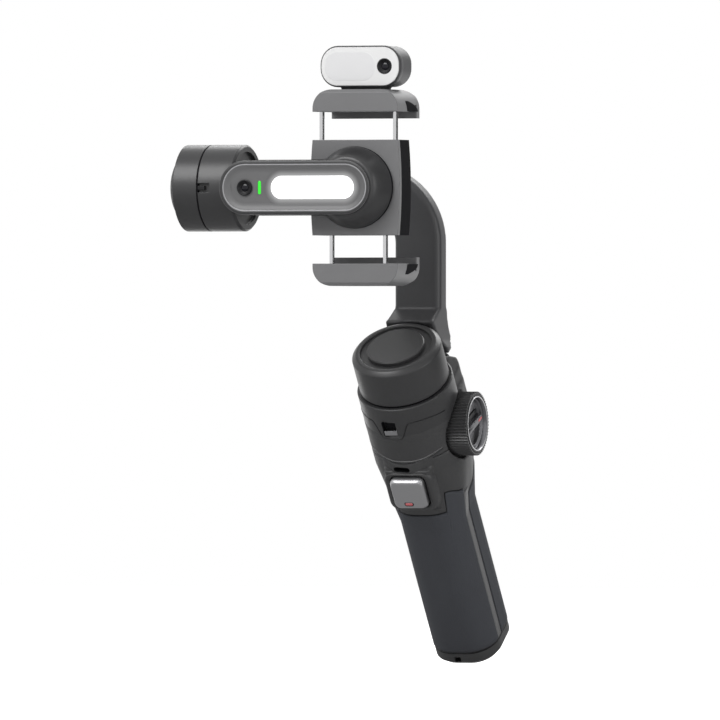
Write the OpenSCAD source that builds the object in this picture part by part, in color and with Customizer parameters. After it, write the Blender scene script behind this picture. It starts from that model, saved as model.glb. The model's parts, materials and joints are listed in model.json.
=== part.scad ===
// Three-axis smartphone gimbal with a fill-light arm and a clip-on tracking camera.
// The head is level and the handle leans forward under it, as the gimbal is held.
// The origin is the mouth of the tripod thread in the base of the handle.

/* [Handle] */
// Lean of the handle away from upright
lean = 36; // [20:1:42]
// Width of the grip, side to side
grip_w = 33; // [31:0.5:40]
// Depth of the grip, front to back
grip_d = 37; // [35:0.5:44]
// Corner radius of the grip
grip_r = 13; // [10:0.5:15]
// Height of the seam between the grip shell and the head shell
grip_top = 124.5; // [121:0.5:130]
// Height of the base cap
base_h = 7; // [5:0.5:10]
// Wall of the moulded shells
wall = 2.4; // [1.8:0.1:2.8]
// Height of the flare between the straight grip and the head shell
flare_h = 42.5; // [38:0.5:52]
// Height of the head shell above the seam
head_h = 25.5; // [24:0.5:34]
// Radius of the collar under the pan motor
collar_r = 23.3; // [22.8:0.1:26]
// Height of the collar above the head shell's waist
collar_h = 17; // [16:0.5:24]
// Reach of the control head behind the axis
hump_back = 33; // [30:0.5:38]

/* [Pan motor] */
// Radius of the pan motor
pan_r = 21.8; // [20.5:0.1:22.6]
// Height of the turning half of the pan motor
pan_h = 19.5; // [16:0.5:26]
// Gap between a motor's turning and fixed halves
motor_gap = 0.8; // [0.5:0.1:1.5]
// Radius of the motor shafts
shaft_r = 3; // [2.5:0.1:3.6]

/* [Rear arm] */
// Width of the flat arm
arm_w = 23.4; // [20:0.2:26]
// Thickness of the flat arm
arm_t = 11; // [9:0.5:12]

/* [Tilt motor] */
// Distance of the tilt axis in front of the arm's front face
tilt_reach = 73; // [70:0.5:84]
// Height of the tilt axis above the top of the pan motor
tilt_rise = 75.6; // [70:0.5:90]
// Radius of the tilt motor
tilt_r = 20.6; // [19.5:0.1:22]
// Width of the fixed half of the tilt motor
fixed_w = 11.9; // [11:0.1:14]
// Width of the turning half of the tilt motor
turn_w = 18.1; // [17:0.1:22]
// Distance from the roll axis to the near end of the tilt motor
motor_x = 57.7; // [56:0.5:66]

/* [Light arm] */
// Height of the light arm
pill_h = 25.5; // [23:0.5:28]
// Thickness of the light arm's face plate
pill_t = 6; // [5:0.5:7]
// Radius of the roll motor's cover
roll_r = 19.3; // [18.5:0.1:20.5]
// Length of the fill light
light_l = 42; // [34:1:44]

/* [Clamp] */
// Width of the clamp
clamp_w = 43.3; // [41:0.1:48]
// Height of the clamp's centre block
block_h = 45.2; // [42:0.2:50]
// Depth of the clamp's centre block
block_d = 16.8; // [15:0.2:20]
// Gap between the jaws
jaw_gap = 71.9; // [68:0.1:90]
// Depth of the jaws
jaw_d = 28.4; // [26:0.2:31]
// Height of a jaw's front plate
jaw_h = 10.6; // [9:0.2:13]
// Diameter of the guide rods
rod_d = 2.4; // [2:0.1:3]
// Spacing of the upper rods
upper_pitch = 37.4; // [34:0.2:38]
// Spacing of the lower rods
lower_pitch = 27.2; // [24:0.2:30]

/* [Tracker] */
// Width of the tracking camera
track_w = 40.4; // [36:0.2:44]
// Height of the tracking camera
track_h = 19.4; // [17:0.2:22]
// Depth of the tracking camera
track_d = 16; // [13:0.5:18]

/* [Controls] */
// Radius of the focus wheel
wheel_r = 15.3; // [14:0.1:15.8]
// Width of the focus wheel
wheel_w = 11; // [9:0.5:13]
// Width of the trigger
trigger_w = 17; // [14:0.5:19]
// Height of the trigger
trigger_h = 16.5; // [14:0.5:17.5]

/* [Hidden] */
$fn = 72;

// General clearances
slip = 0.3;
run_gap = 0.02;
cut = 1;
skin = 0.4;

// Grip
pad_t = 1.6;
straight_top = grip_top - flare_h;
pad_high = straight_top - skin;
pad_lift = 1;
pad_low = base_h + pad_lift;
strip_front = 6.5;
strip_back = 1.8;
insert_r = 6;
insert_over = 3;
insert_h = base_h + insert_over;
thread_r = 3.175;
thread_h = 8;
cell_r = 9;
cell_drop = 59.5;
cell_l = grip_top - cell_drop;
board_t = 1.6;
board_w = 16;
board_drop = 40.5;
board_l = grip_top - board_drop;
lanyard = 3.2;

// Head of the handle
waist_drop = 3;
waist = grip_top + head_h - collar_h / 2 - waist_drop;
collar_top = waist + collar_h;
hump_top = grip_top + head_h;
hump_r = 8;
hump_bevel = 4;
well_in = 1.2;
well_r = collar_r - wall - well_in;
well_rise = 7;
well_floor = waist + well_rise;
panel_w = 21;
panel_h = 22;
panel_t = 1.4;
panel_rise = 2.6;
panel_z = grip_top + panel_rise;

// Pan motor
pan_base = collar_top + motor_gap;
pan_top = pan_base + pan_h;
bell_wall = 2.6;
bell_r = pan_r - bell_wall;
magnet_t = 2.2;
air_gap = 0.6;
stator_r = bell_r - magnet_t - air_gap;
stator_drop = 8;
stator_top = pan_top - stator_drop;
bearing_r = 2 * shaft_r;
bearing_t = 4;
disc_r = 14;
groove_r = 17.4;
groove_depth = 1.2;

// Places of the head, in the level frame
pan_top_y = -pan_top * sin(lean);
pan_top_z = pan_top * cos(lean);
arm_clear = 5.6;
arm_y = pan_top_y + pan_r + arm_clear;
tilt_y = arm_y - tilt_reach;
tilt_z = pan_top_z + tilt_rise;
fixed_x = -motor_x - turn_w;
cap_x = fixed_x - fixed_w;
cap_t = 5.8;
cap_step = 4.6;
cap_r = tilt_r - cap_step;

// Light arm, measured from the tilt axis
pill_r = pill_h / 2;
pill_out = 1;
pill_face = -tilt_r - pill_out;
pill_past = 5.8;
pill_left = motor_x + pill_past - pill_r;
pill_back = pill_face + pill_t;
cover_l = 13.6;
cover_back = pill_face + cover_l;
block_front = cover_back + motor_gap;
block_back = block_front + block_d;
jaw_back = block_front + jaw_d;

module in_handle() {
    rotate([lean, 0, 0])
        children();
}

module in_head() {
    translate([0, tilt_y, tilt_z])
        children();
}

// A cylinder along X, from the given place
module along_x(r, h) {
    rotate([0, 90, 0])
        cylinder(r = r, h = h);
}

// A cylinder along Y, from the given place towards the back
module along_y(r, h) {
    rotate([-90, 0, 0])
        cylinder(r = r, h = h);
}

// A plate drawn in X and Z, and as thick as t towards the back
module plate_y(t) {
    translate([0, t, 0])
        rotate([90, 0, 0])
            linear_extrude(t)
                children();
}

module rounded_rect(w, d, r) {
    hull()
        for (x = [-1, 1], y = [-1, 1])
            translate([x * (w / 2 - r), y * (d / 2 - r)])
                circle(r);
}

module ring(outer, inner, h) {
    difference() {
        cylinder(r = outer, h = h);
        translate([0, 0, -cut])
            cylinder(r = inner, h = h + 2 * cut);
    }
}

// Trigger and its housing
trigger_drop = 15.5;
trigger_z = grip_top - trigger_drop;
lobe_side = 3.5;
lobe_w = trigger_w + 2 * lobe_side;
lobe_y = 24.5;
lobe_under = 7.5;
lobe_low = trigger_z - trigger_h / 2 - lobe_under;
lobe_over = 3;
lobe_high = trigger_z + trigger_h / 2 + lobe_over;
trigger_face = 29;
trigger_back = 20.5;
trigger_slot = 15;
trigger_r = 3;
pin_r = 1;
pin_drop = 2.6;
pin_z = trigger_z + trigger_h / 2 - pin_drop;
pin_y = -22.4;
pin_side = 2.5;
pin_l = trigger_w + 2 * pin_side;

// Focus wheel
wheel_y = 4;
wheel_rise = 3.5;
wheel_z = grip_top + wheel_rise;
wheel_x = 18.5;
wheel_gap = 0.4;
pocket_gap = 1.2;
pocket_r = wheel_r + pocket_gap;
knurls = 60;
hump_half = wheel_x - 2 * wheel_gap - hump_r;
knurl_r = 0.55;
ring_t = 1.6;
dish_in = 3.4;
dish_r = wheel_r - dish_in;
rim_wall = 0.6;
rim_bore = wheel_r - knurl_r - rim_wall;
dish_depth = 2;
bar_w = 4;
bar_h = 1.6;
axle_r = 2;
axle_x = 8;

// Charging port
usb_w = 9;
usb_h = 3.2;
usb_d = 7;
usb_x = -2;
usb_drop = 3.6;
usb_z = grip_top - usb_drop;
usb_t = 0.4;

// Controls on the user's side
stick_share = 0.66;
stick_z = panel_z + panel_h * stick_share;
stick_in = 5;
stick_y = hump_back - stick_in;
ring_r = 6.5;
ring_hole = 3.5;
ring_h = 2;
ball_r = ring_hole - slip;
stem_r = 1.6;
stem_hole = 3.4;
cap_gap = 2;
stick_cap_r = 5.5;
stick_cap_t = 2;
stick_well = ring_r + slip;
button_r = 2.9;
button_x = 4.6;
button_rise = 4.4;
button_z = panel_z + button_rise;
button_out = 1;
button_l = 4;
button_well = 5.2;
power_rise = 6;
power_z = grip_top + power_rise;
power_r = 3.4;

// Lock in the collar's window
window_w = 7;
window_h = 8;
window_d = 2.6;
window_x = -3;
window_rise = 5.7;
window_z = waist + window_rise;
lock_w = window_w - 2 * slip;
lock_h = 2.4;

module grip_section(inset) {
    rounded_rect(grip_w - 2 * inset, grip_d - 2 * inset, grip_r - inset);
}

module head_section(inset) {
    hull() {
        circle(collar_r - inset);
        for (x = [-1, 1])
            translate([x * hump_half, hump_back - hump_r])
                circle(hump_r - inset);
    }
}

// The control head above its waist, behind the collar
module hump_section(inset) {
    hull()
        for (x = [-1, 1]) {
            translate([x * hump_half, hump_back - hump_r])
                circle(hump_r - inset);
            translate([x * hump_half, hump_r])
                circle(hump_r - inset);
        }
}

// The head above its waist, with bevels along its top edges
module hump() {
    intersection() {
        translate([0, 0, waist - wall])
            linear_extrude(hump_top - waist + wall)
                hump_section(slip);
        translate([-hump_back, 0, 0])
            rotate([90, 0, 90])
                linear_extrude(2 * hump_back)
                    bevelled_side(-hump_back, hump_back - slip);
        plate_y(hump_back)
            bevelled_side(slip - hump_half - hump_r, hump_half + hump_r - slip);
    }
}

// A tall side view whose two top corners are cut off
module bevelled_side(left, right) {
    polygon([
        [left, 0], [right, 0], [right, hump_top - hump_bevel], [right - hump_bevel, hump_top],
        [left + hump_bevel, hump_top], [left, hump_top - hump_bevel]
    ]);
}

module slab(z) {
    translate([0, 0, z])
        linear_extrude(skin)
            children();
}

// The turned pocket that the focus wheel sits in
module wheel_pocket() {
    translate([wheel_x - wheel_gap, wheel_y, wheel_z])
        along_x(pocket_r, collar_r);
}

module board_space(gap) {
    translate([-board_w / 2 - gap, grip_d / 2 - wall - pad_t - slip - board_t - gap, base_h + wall])
        cube([board_w + 2 * gap, board_t + slip + gap, board_l + gap]);
}

// The place of a soft panel that wraps the front or the back half of the grip
module pad_cut(side, over) {
    intersection() {
        translate([-grip_w, side > 0 ? -strip_back : -grip_d, pad_low])
            cube([2 * grip_w, side > 0 ? grip_d + strip_back : grip_d - strip_front, pad_high - pad_low]);
        translate([0, 0, pad_low])
            linear_extrude(pad_high - pad_low)
                difference() {
                    grip_section(-over);
                    grip_section(pad_t);
                }
    }
}

module trigger_lobe() {
    hull() {
        translate([0, 0, lobe_low + lobe_y - grip_d / 2])
            linear_extrude(lobe_high - lobe_low - lobe_y + grip_d / 2)
                translate([0, -lobe_y / 2])
                    rounded_rect(lobe_w, lobe_y, trigger_r);
        slab(lobe_low)
            translate([0, -grip_d / 4])
                rounded_rect(lobe_w - wall, grip_d / 2, trigger_r);
    }
}

module grip_shell() {
    color("#3c3c3e") in_handle() difference() {
        union() {
            translate([0, 0, base_h])
                linear_extrude(straight_top - base_h)
                    grip_section(0);
            hull() {
                slab(straight_top - skin)
                    grip_section(0);
                slab(grip_top - collar_h / 2)
                    head_section(0);
            }
            translate([0, 0, grip_top - collar_h / 2])
                linear_extrude(collar_h / 2)
                    head_section(0);
            trigger_lobe();
        }
        translate([0, 0, base_h - cut])
            linear_extrude(straight_top - base_h + cut)
                grip_section(wall + pad_t);
        pad_cut(-1, cut);
        pad_cut(1, cut);
        board_space(slip);
        translate([-trigger_w / 2 - slip, -collar_r - lobe_y, trigger_z - trigger_h / 2 - 3 * slip])
            cube([trigger_w + 2 * slip, collar_r + lobe_y - trigger_slot, trigger_h + 4.5 * slip]);
        translate([-pin_l / 2, pin_y, pin_z])
            along_x(pin_r, pin_l);
        translate([usb_x - usb_w / 2, -collar_r - lobe_y, usb_z - usb_h / 2])
            cube([usb_w, collar_r + lobe_y - collar_r + usb_d + cut, usb_h]);
        wheel_pocket();
    }
}

module front_pad() {
    color("#2f3134") in_handle()
        pad_cut(-1, 0);
}

module rear_pad() {
    color("#2f3134") in_handle()
        pad_cut(1, 0);
}

module base_cap() {
    color("#333335") in_handle() difference() {
        union() {
            hull() {
                slab(0)
                    grip_section(base_h / 3);
                translate([0, 0, base_h / 3])
                    linear_extrude(base_h * 2 / 3)
                        grip_section(0);
            }
            translate([0, 0, base_h])
                cylinder(r = insert_r + wall, h = insert_h - base_h);
        }
        translate([0, 0, -cut])
            cylinder(r = insert_r, h = insert_h + 2 * cut);
        translate([-lanyard, -grip_d, base_h / 2 - lanyard / 2])
            cube([lanyard, grip_d / 2 + lanyard + base_h / 3, lanyard]);
    }
}

module tripod_insert() {
    color("#a8a8a8") in_handle() difference() {
        cylinder(r = insert_r, h = insert_h);
        translate([0, 0, -cut])
            cylinder(r = thread_r, h = thread_h + cut);
    }
}

module battery_cell() {
    color("#4a6a8a") in_handle()
        translate([0, -wall, insert_h + slip])
            cylinder(r = cell_r, h = cell_l);
}

module main_board() {
    color("#1f5a3a") in_handle()
        board_space(0);
}

module usb_port() {
    color("#9a9a9c") in_handle()
        translate([usb_x - usb_w / 2, -collar_r - usb_t, usb_z - usb_h / 2]) difference() {
            cube([usb_w, usb_d, usb_h]);
            translate([usb_t, -cut, usb_t])
                cube([usb_w - 2 * usb_t, usb_d - usb_t + cut, usb_h - 2 * usb_t]);
        }
}

module panel_plate(gap) {
    translate([0, hump_back - panel_t, panel_z + panel_h / 2])
        rotate([-90, 0, 0])
            linear_extrude(panel_t + gap)
                rounded_rect(panel_w, panel_h, button_r);
}

module button_at(x, y, z, r, l) {
    translate([x, y, z])
        along_y(r, l);
}

module head_shell() {
    color("#3e3e40") in_handle() difference() {
        union() {
            translate([0, 0, grip_top])
                linear_extrude(waist - grip_top)
                    head_section(0);
            hump();
        }
        translate([0, 0, waist])
            cylinder(r = collar_r, h = head_h);
        panel_plate(cut);
        translate([0, stick_y - ring_hole - slip, stick_z])
            along_y(stick_well, ring_r + hump_back - stick_y);
        for (x = [-1, 1])
            button_at(x * button_x, hump_back - button_well, button_z, button_r + slip, button_well);
        translate([-collar_r - cut, 0, power_z])
            along_x(power_r + slip, wall + cut + button_out);
        translate([axle_x - slip, wheel_y, wheel_z])
            along_x(axle_r + run_gap, collar_r);
        wheel_pocket();
    }
}

module pan_collar() {
    color("#363638") in_handle() difference() {
        union() {
            translate([0, 0, waist])
                cylinder(r = collar_r, h = collar_h - skin);
            translate([0, 0, collar_top - skin])
                cylinder(r1 = collar_r, r2 = collar_r - skin, h = skin);
        }
        translate([0, 0, well_floor])
            cylinder(r = well_r, h = collar_h);
        translate([0, 0, well_floor - wall])
            cylinder(r = shaft_r + slip, h = collar_h);
        translate([window_x - window_w / 2, -collar_r - cut, window_z - window_h / 2])
            cube([window_w, window_d + cut, window_h]);
        wheel_pocket();
    }
}

module control_panel() {
    color("#2a2a2c") in_handle() difference() {
        panel_plate(0);
        translate([0, hump_back - panel_t - cut, stick_z])
            along_y(stem_hole, panel_t + 2 * cut);
        for (x = [-1, 1])
            button_at(x * button_x, hump_back - panel_t - cut, button_z, button_r + slip, panel_t + 2 * cut);
    }
}

module joystick_ring() {
    color("#6a6a6c") in_handle()
        translate([0, stick_y - ring_h / 2, stick_z])
            rotate([-90, 0, 0])
                ring(ring_r, ring_hole, ring_h);
}

module joystick() {
    color("#232325") in_handle() translate([0, stick_y, stick_z]) {
        sphere(r = ball_r);
        along_y(stem_r, hump_back - stick_y + cap_gap);
        translate([0, hump_back - stick_y + cap_gap, 0])
            along_y(stick_cap_r, stick_cap_t);
    }
}

module side_button(x) {
    button_at(x, hump_back - button_l + button_out, button_z, button_r, button_l);
}

module record_button() {
    color("#a04040") in_handle()
        side_button(-button_x);
}

module mode_button() {
    color("#4a4a4c") in_handle()
        side_button(button_x);
}

module power_button() {
    color("#4a4a4c") in_handle()
        translate([-collar_r - button_out, 0, power_z])
            along_x(power_r, wall);
}

module pan_lock() {
    color("#c4c4c6") in_handle()
        translate([window_x - lock_w / 2, -collar_r + skin, window_z - window_h / 2 + slip])
            cube([lock_w, window_d - skin, lock_h]);
}

module trigger() {
    color("#8c8c8e") in_handle() difference() {
        union() {
            hull() {
                translate([-trigger_w / 2, -trigger_face + trigger_r, trigger_z - trigger_h / 2])
                    cube([trigger_w, skin, trigger_h]);
                translate([-trigger_w / 2 + trigger_r, -trigger_face, trigger_z - trigger_h / 2 + trigger_r])
                    cube([trigger_w - 2 * trigger_r, skin, trigger_h - 2 * trigger_r]);
            }
            translate([-trigger_w / 2, -trigger_face + trigger_r, trigger_z - trigger_h / 2])
                cube([trigger_w, trigger_face - trigger_r - trigger_back, trigger_h]);
        }
        translate([-trigger_w, pin_y, pin_z])
            along_x(pin_r + run_gap, 2 * trigger_w);
    }
}

module trigger_pin() {
    color("#b8b8ba") in_handle()
        translate([-pin_l / 2, pin_y, pin_z])
            along_x(pin_r, pin_l);
}

module wheel_at() {
    in_handle()
        translate([wheel_x, wheel_y, wheel_z])
            children();
}

module wheel_shaft() {
    color("#9c9c9e") wheel_at()
        translate([axle_x - wheel_x, 0, 0])
            along_x(axle_r, wheel_x - axle_x + wheel_w - dish_depth - ring_t);
}

module wheel_rim() {
    color("#2c2c2e") wheel_at() difference() {
        rotate([0, 90, 0])
            linear_extrude(wheel_w)
                difference() {
                    circle(wheel_r);
                    for (i = [0:knurls - 1])
                        rotate(i * 360 / knurls)
                            translate([wheel_r, 0])
                                rotate(45)
                                    square(2 * knurl_r, center = true);
                }
        translate([wheel_w - ring_t, 0, 0])
            along_x(rim_bore, ring_t + cut);
        translate([wheel_w - dish_depth - ring_t, 0, 0])
            along_x(dish_r, wheel_w);
        translate([-cut, 0, 0])
            along_x(axle_r, wheel_w);
    }
}

module wheel_ring() {
    color("#c8c8ca") wheel_at()
        translate([wheel_w - ring_t, 0, 0])
            rotate([0, 90, 0])
                ring(rim_bore, dish_r, ring_t + skin);
}

module wheel_dish() {
    color("#77777a") wheel_at()
        translate([wheel_w - dish_depth - ring_t, 0, 0]) {
            rotate([0, 90, 0])
                ring(dish_r, dish_r - wall / 2, dish_depth);
            along_x(dish_r, dish_depth / 2);
            rotate([45, 0, 0])
                translate([0, -bar_w / 2, -dish_r + wall])
                    cube([dish_depth + bar_h, bar_w, 2 * dish_r - 2 * wall]);
        }
}

module pan_stator() {
    color("#b07a4a") in_handle()
        translate([0, 0, well_floor])
            ring(stator_r, bearing_r, stator_top - well_floor);
}

module pan_bearings() {
    color("#b4b4b6") in_handle()
        for (z = [well_floor, stator_top - bearing_t])
            translate([0, 0, z])
                ring(bearing_r, shaft_r + run_gap, bearing_t);
}

roof_t = 5;

module pan_rotor() {
    color("#3a3a3c") in_handle() difference() {
        union() {
            translate([0, 0, pan_base])
                cylinder(r = pan_r, h = pan_h - cut);
            translate([0, 0, pan_top - cut])
                cylinder(r1 = pan_r, r2 = pan_r - cut, h = cut);
        }
        translate([0, 0, pan_base - cut])
            cylinder(r = bell_r, h = pan_h - roof_t + cut);
        cylinder(r = shaft_r, h = pan_top);
        translate([0, 0, pan_top - groove_depth])
            cylinder(r = groove_r, h = 2 * groove_depth);
    }
}

module pan_magnets() {
    color("#7c7c80") in_handle()
        translate([0, 0, pan_base + cut])
            ring(bell_r, bell_r - magnet_t, stator_top - pan_base - cut);
}

module pan_shaft() {
    color("#b8b8ba") in_handle()
        translate([0, 0, well_floor - wall + slip])
            cylinder(r = shaft_r, h = pan_top - groove_depth - well_floor + wall - slip);
}

module pan_cap() {
    color("#2e2e30") in_handle()
        translate([0, 0, pan_top - groove_depth]) {
            cylinder(r = disc_r, h = groove_depth + skin);
            translate([0, 0, groove_depth + skin])
                cylinder(r1 = disc_r, r2 = disc_r - skin, h = skin);
        }
}

// Rear arm
bend_r = 14;
bar_bevel = 1.7;
elbow_r = 13;
foot_flare = 4.6;
foot_w = arm_w + 2 * foot_flare;
foot_share = 1.1;
foot_low = pan_base + skin;
crease_rise = 18.5;
crease_z = pan_top_z + crease_rise;
leg_gap = 0.5;
leg_x = fixed_x - leg_gap;
elbow_x = leg_x + elbow_r;
leg_h = tilt_rise - crease_rise - bend_r - arm_w / 2 + skin;
cover_inset = 3.2;
cover_t = 1.4;
cover_rise = 8;
cover_low = crease_z + cover_rise;
cover_high = tilt_z - arm_w / 2 - bend_r + cover_inset;

// A place in the leaning handle, seen from the side in the level frame
function level(y, s) = [y * cos(lean) - s * sin(lean), y * sin(lean) + s * cos(lean)];

// The arm's cross-section, with its four long edges bevelled
module bar_section(w, t) {
    polygon([
        [bar_bevel - w / 2, -t / 2], [w / 2 - bar_bevel, -t / 2], [w / 2, bar_bevel - t / 2],
        [w / 2, t / 2 - bar_bevel], [w / 2 - bar_bevel, t / 2], [bar_bevel - w / 2, t / 2],
        [-w / 2, t / 2 - bar_bevel], [-w / 2, bar_bevel - t / 2]
    ]);
}

// The arm's bar, swept up from the foot, round the bend, out to the side and forward
module arm_bar() {
    translate([0, arm_y + arm_t / 2, tilt_z]) {
        translate([0, 0, -leg_h - arm_w / 2 - bend_r])
            linear_extrude(leg_h)
                bar_section(arm_w, arm_t);
        translate([-arm_w / 2 - bend_r, 0, -arm_w / 2 - bend_r])
            rotate([90, 0, 0])
                rotate_extrude(angle = 90)
                    translate([bend_r + arm_w / 2, 0])
                        bar_section(arm_w, arm_t);
        translate([elbow_x, 0, 0])
            rotate([0, 90, 0])
                linear_extrude(-arm_w / 2 - bend_r - elbow_x)
                    bar_section(arm_w, arm_t);
        translate([elbow_x, -elbow_r - arm_t / 2, 0]) {
            rotate([0, 0, 90])
                rotate_extrude(angle = 90)
                    translate([elbow_r + arm_t / 2, 0])
                        bar_section(arm_t, arm_w);
            translate([-elbow_r - arm_t / 2, 0, 0])
                rotate([90, 0, 0])
                    linear_extrude(tilt_reach - elbow_r)
                        bar_section(arm_t, arm_w);
        }
    }
}

// The foot's hollow flare: shares of its side step, and of its height above the motor's rim
flare_shares = [[0, 1], [0.06, 0.72], [0.2, 0.45], [0.46, 0.2], [1, 0]];

function flare_at(side, share) =
    [side * (arm_w / 2 + foot_flare * share[0]), pan_top_z + crease_rise * share[1]];

// The foot from the side, out of the motor's back wall
module foot_side() {
    polygon([
        [arm_y, crease_z],
        level(pan_r - cut, pan_top),
        level(pan_r - cut, foot_low),
        level(pan_r + arm_t * foot_share, foot_low),
        [arm_y + arm_t, crease_z]
    ]);
}

module arm_foot() {
    intersection() {
        translate([-foot_w / 2, 0, 0])
            rotate([90, 0, 90])
                linear_extrude(foot_w)
                    foot_side();
        translate([0, arm_y - pan_r, 0])
            plate_y(2 * pan_r + arm_t)
                polygon(concat(
                    [for (p = flare_shares) flare_at(-1, p)],
                    [[-foot_w / 2, 0], [foot_w / 2, 0]],
                    [for (i = [len(flare_shares) - 1:-1:0]) flare_at(1, flare_shares[i])]
                ));
    }
}

module cover_plate(gap) {
    translate([-arm_w / 2 + cover_inset, arm_y + arm_t - cover_t, cover_low])
        cube([arm_w - 2 * cover_inset, cover_t + gap, cover_high - cover_low]);
}

module rear_arm() {
    color("#414143") difference() {
        union() {
            arm_bar();
            arm_foot();
        }
        in_handle()
            cylinder(r = pan_r, h = pan_top);
        in_head()
            translate([cap_x - tilt_r, 0, 0])
                along_x(tilt_r, tilt_r + fixed_w);
        cover_plate(cut);
    }
}

module arm_cover() {
    color("#2f2f31")
        cover_plate(0);
}

// Tilt motor
tilt_bell_r = tilt_r - wall - skin;
tilt_stator_r = tilt_bell_r - magnet_t - air_gap;
tilt_stator_l = fixed_w + turn_w - roof_t - wall - cut;
lock_x = fixed_x + motor_gap;
notch_w = 6;
notch_h = 4.4;
notch_d = 1.8;
peg_w = 3.4;
peg_h = 1.9;
end_t = 1.4;
end_step = 3.4;
end_r = tilt_r - end_step;
end_ring_r = 11;

module tilt_housing() {
    color("#3a3a3c") in_head() difference() {
        translate([cap_x, 0, 0])
            along_x(tilt_r, fixed_w);
        translate([cap_x + wall, 0, 0])
            along_x(tilt_bell_r, fixed_w);
        translate([cap_x + slip, 0, 0])
            along_x(shaft_r + slip, fixed_w);
    }
}

// The domed cap's outline: shares of its radius and of its height
cap_shares = [
    [1, 0.34], [0.975, 0.44], [0.93, 0.5], [0.905, 0.5], [0.895, 0.42], [0.87, 0.42], [0.86, 0.56],
    [0.82, 0.7], [0.72, 0.84], [0.5, 0.95], [0, 1]
];

module tilt_cap() {
    color("#353537") in_head()
        translate([cap_x, 0, 0])
            rotate([0, -90, 0])
                rotate_extrude()
                    polygon(concat(
                        [[0, 0], [cap_r + cut, 0], [cap_r + cut, cut], [cap_r, cut]],
                        [for (share = cap_shares) [cap_r * share[0], cap_t * share[1]]]
                    ));
}

module tilt_stator() {
    color("#b07a4a") in_head()
        translate([cap_x + wall, 0, 0])
            rotate([0, 90, 0])
                ring(tilt_stator_r, bearing_r, tilt_stator_l);
}

module tilt_bearings() {
    color("#b4b4b6") in_head()
        for (x = [0, tilt_stator_l - bearing_t])
            translate([cap_x + wall + x, 0, 0])
                rotate([0, 90, 0])
                    ring(bearing_r, shaft_r + run_gap, bearing_t);
}

module tilt_shaft() {
    color("#b8b8ba") in_head()
        translate([cap_x + 2 * slip, 0, 0])
            along_x(shaft_r, fixed_w + turn_w - end_t - 2 * slip);
}

module tilt_rotor() {
    color("#3e3e40") in_head() difference() {
        union() {
            translate([fixed_x + motor_gap, 0, 0])
                along_x(tilt_r, turn_w - motor_gap - cut);
            translate([-motor_x - cut, 0, 0])
                rotate([0, 90, 0])
                    cylinder(r1 = tilt_r, r2 = tilt_r - cut, h = cut);
        }
        translate([fixed_x, 0, 0])
            along_x(tilt_bell_r, turn_w - roof_t);
        translate([fixed_x, 0, 0])
            along_x(shaft_r, turn_w);
        translate([-motor_x - end_t, 0, 0])
            rotate([0, 90, 0])
                ring(end_r, end_ring_r, roof_t);
        translate([-motor_x - end_t, 0, 0])
            along_x(end_ring_r - wall, roof_t);
        translate([fixed_x, -tilt_r - cut, -notch_h / 2])
            cube([motor_gap + notch_w, notch_d + cut, notch_h]);
    }
}

module tilt_magnets() {
    color("#7c7c80") in_head()
        translate([fixed_x + 2 * motor_gap, 0, 0])
            rotate([0, 90, 0])
                ring(tilt_bell_r, tilt_bell_r - magnet_t, turn_w - roof_t - 2 * motor_gap);
}

module tilt_lock() {
    color("#2a2a2c") in_head()
        translate([lock_x, -tilt_r + slip, -peg_h / 2])
            cube([peg_w, notch_d - slip, peg_h]);
}

// Light arm
trim_in = 1.5;
trim_r = pill_r - trim_in;
trim_w = 0.6;
trim_t = 1;
dish_t = 0.9;
light_h = 10.9;
light_x = -16.3;
light_t = 1.6;
led_board_t = 1;
lens_r = 3.6;
lens_t = 2;
led_x = -43.3;
led_w = 1.6;
led_h = 6.4;
led_t = 1;
cone_step = 5;
cone_r = roll_r - cone_step;
cone_h = 6;
fairing_r = 8;
fairing_x = 27;
roll_cavity_r = roll_r - wall;
roll_floor_t = 1.4;
roll_floor = pill_back + roll_floor_t;
roll_stator_r = 13;
roll_stator_l = cover_back - roll_floor;

module pill(r) {
    hull()
        for (x = [-pill_left, 0])
            translate([x, 0])
                circle(r);
}

module light_pill(r, l, x) {
    hull()
        for (side = [-1, 1])
            translate([x + side * (l / 2 - r), 0])
                circle(r);
}

module neck() {
    translate([-pill_left - pill_r / 2, -pill_r + cut])
        square([pill_left + pill_r / 2 - fairing_x, pill_h - 2 * cut]);
}

module light_arm() {
    color("#6f6f71") in_head() difference() {
        union() {
            translate([0, pill_face, 0])
                plate_y(pill_t)
                    pill(pill_r);
            translate([0, pill_back, 0])
                plate_y(cover_back - pill_back - cut)
                    neck();
        }
        translate([0, pill_face - cut, 0])
            plate_y(cut + dish_t)
                pill(trim_r);
        translate([0, pill_face + dish_t - cut, 0])
            plate_y(cut + light_t + led_board_t)
                light_pill(light_h / 2, light_l, light_x);
        translate([-pill_left, pill_face, 0])
            along_y(lens_r, dish_t + lens_t);
        translate([led_x - led_w / 2, pill_face, -led_h / 2])
            cube([led_w, dish_t + led_t, led_h]);
        translate([cap_x, 0, 0])
            along_x(tilt_r, -cap_x - motor_x);
    }
}

module light_trim() {
    color("#a0a0a2") in_head()
        translate([0, pill_face + dish_t - trim_t + slip, 0])
            plate_y(trim_t - slip)
                difference() {
                    pill(trim_r);
                    pill(trim_r - trim_w);
                }
}

module light_diffuser() {
    color("white") in_head()
        translate([0, pill_face + dish_t - skin, 0])
            plate_y(light_t + skin)
                light_pill(light_h / 2, light_l, light_x);
}

module light_board() {
    color("#e8e4d0") in_head()
        translate([0, pill_face + dish_t + light_t, 0])
            plate_y(led_board_t)
                light_pill(light_h / 2, light_l, light_x);
}

module arm_lens() {
    color("#101014") in_head()
        translate([-pill_left, pill_face + skin, 0])
            along_y(lens_r, lens_t + dish_t - skin);
}

module status_led() {
    color("#2de02d") in_head()
        translate([led_x - led_w / 2, pill_face + dish_t - skin, -led_h / 2])
            cube([led_w, led_t + skin, led_h]);
}

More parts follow.
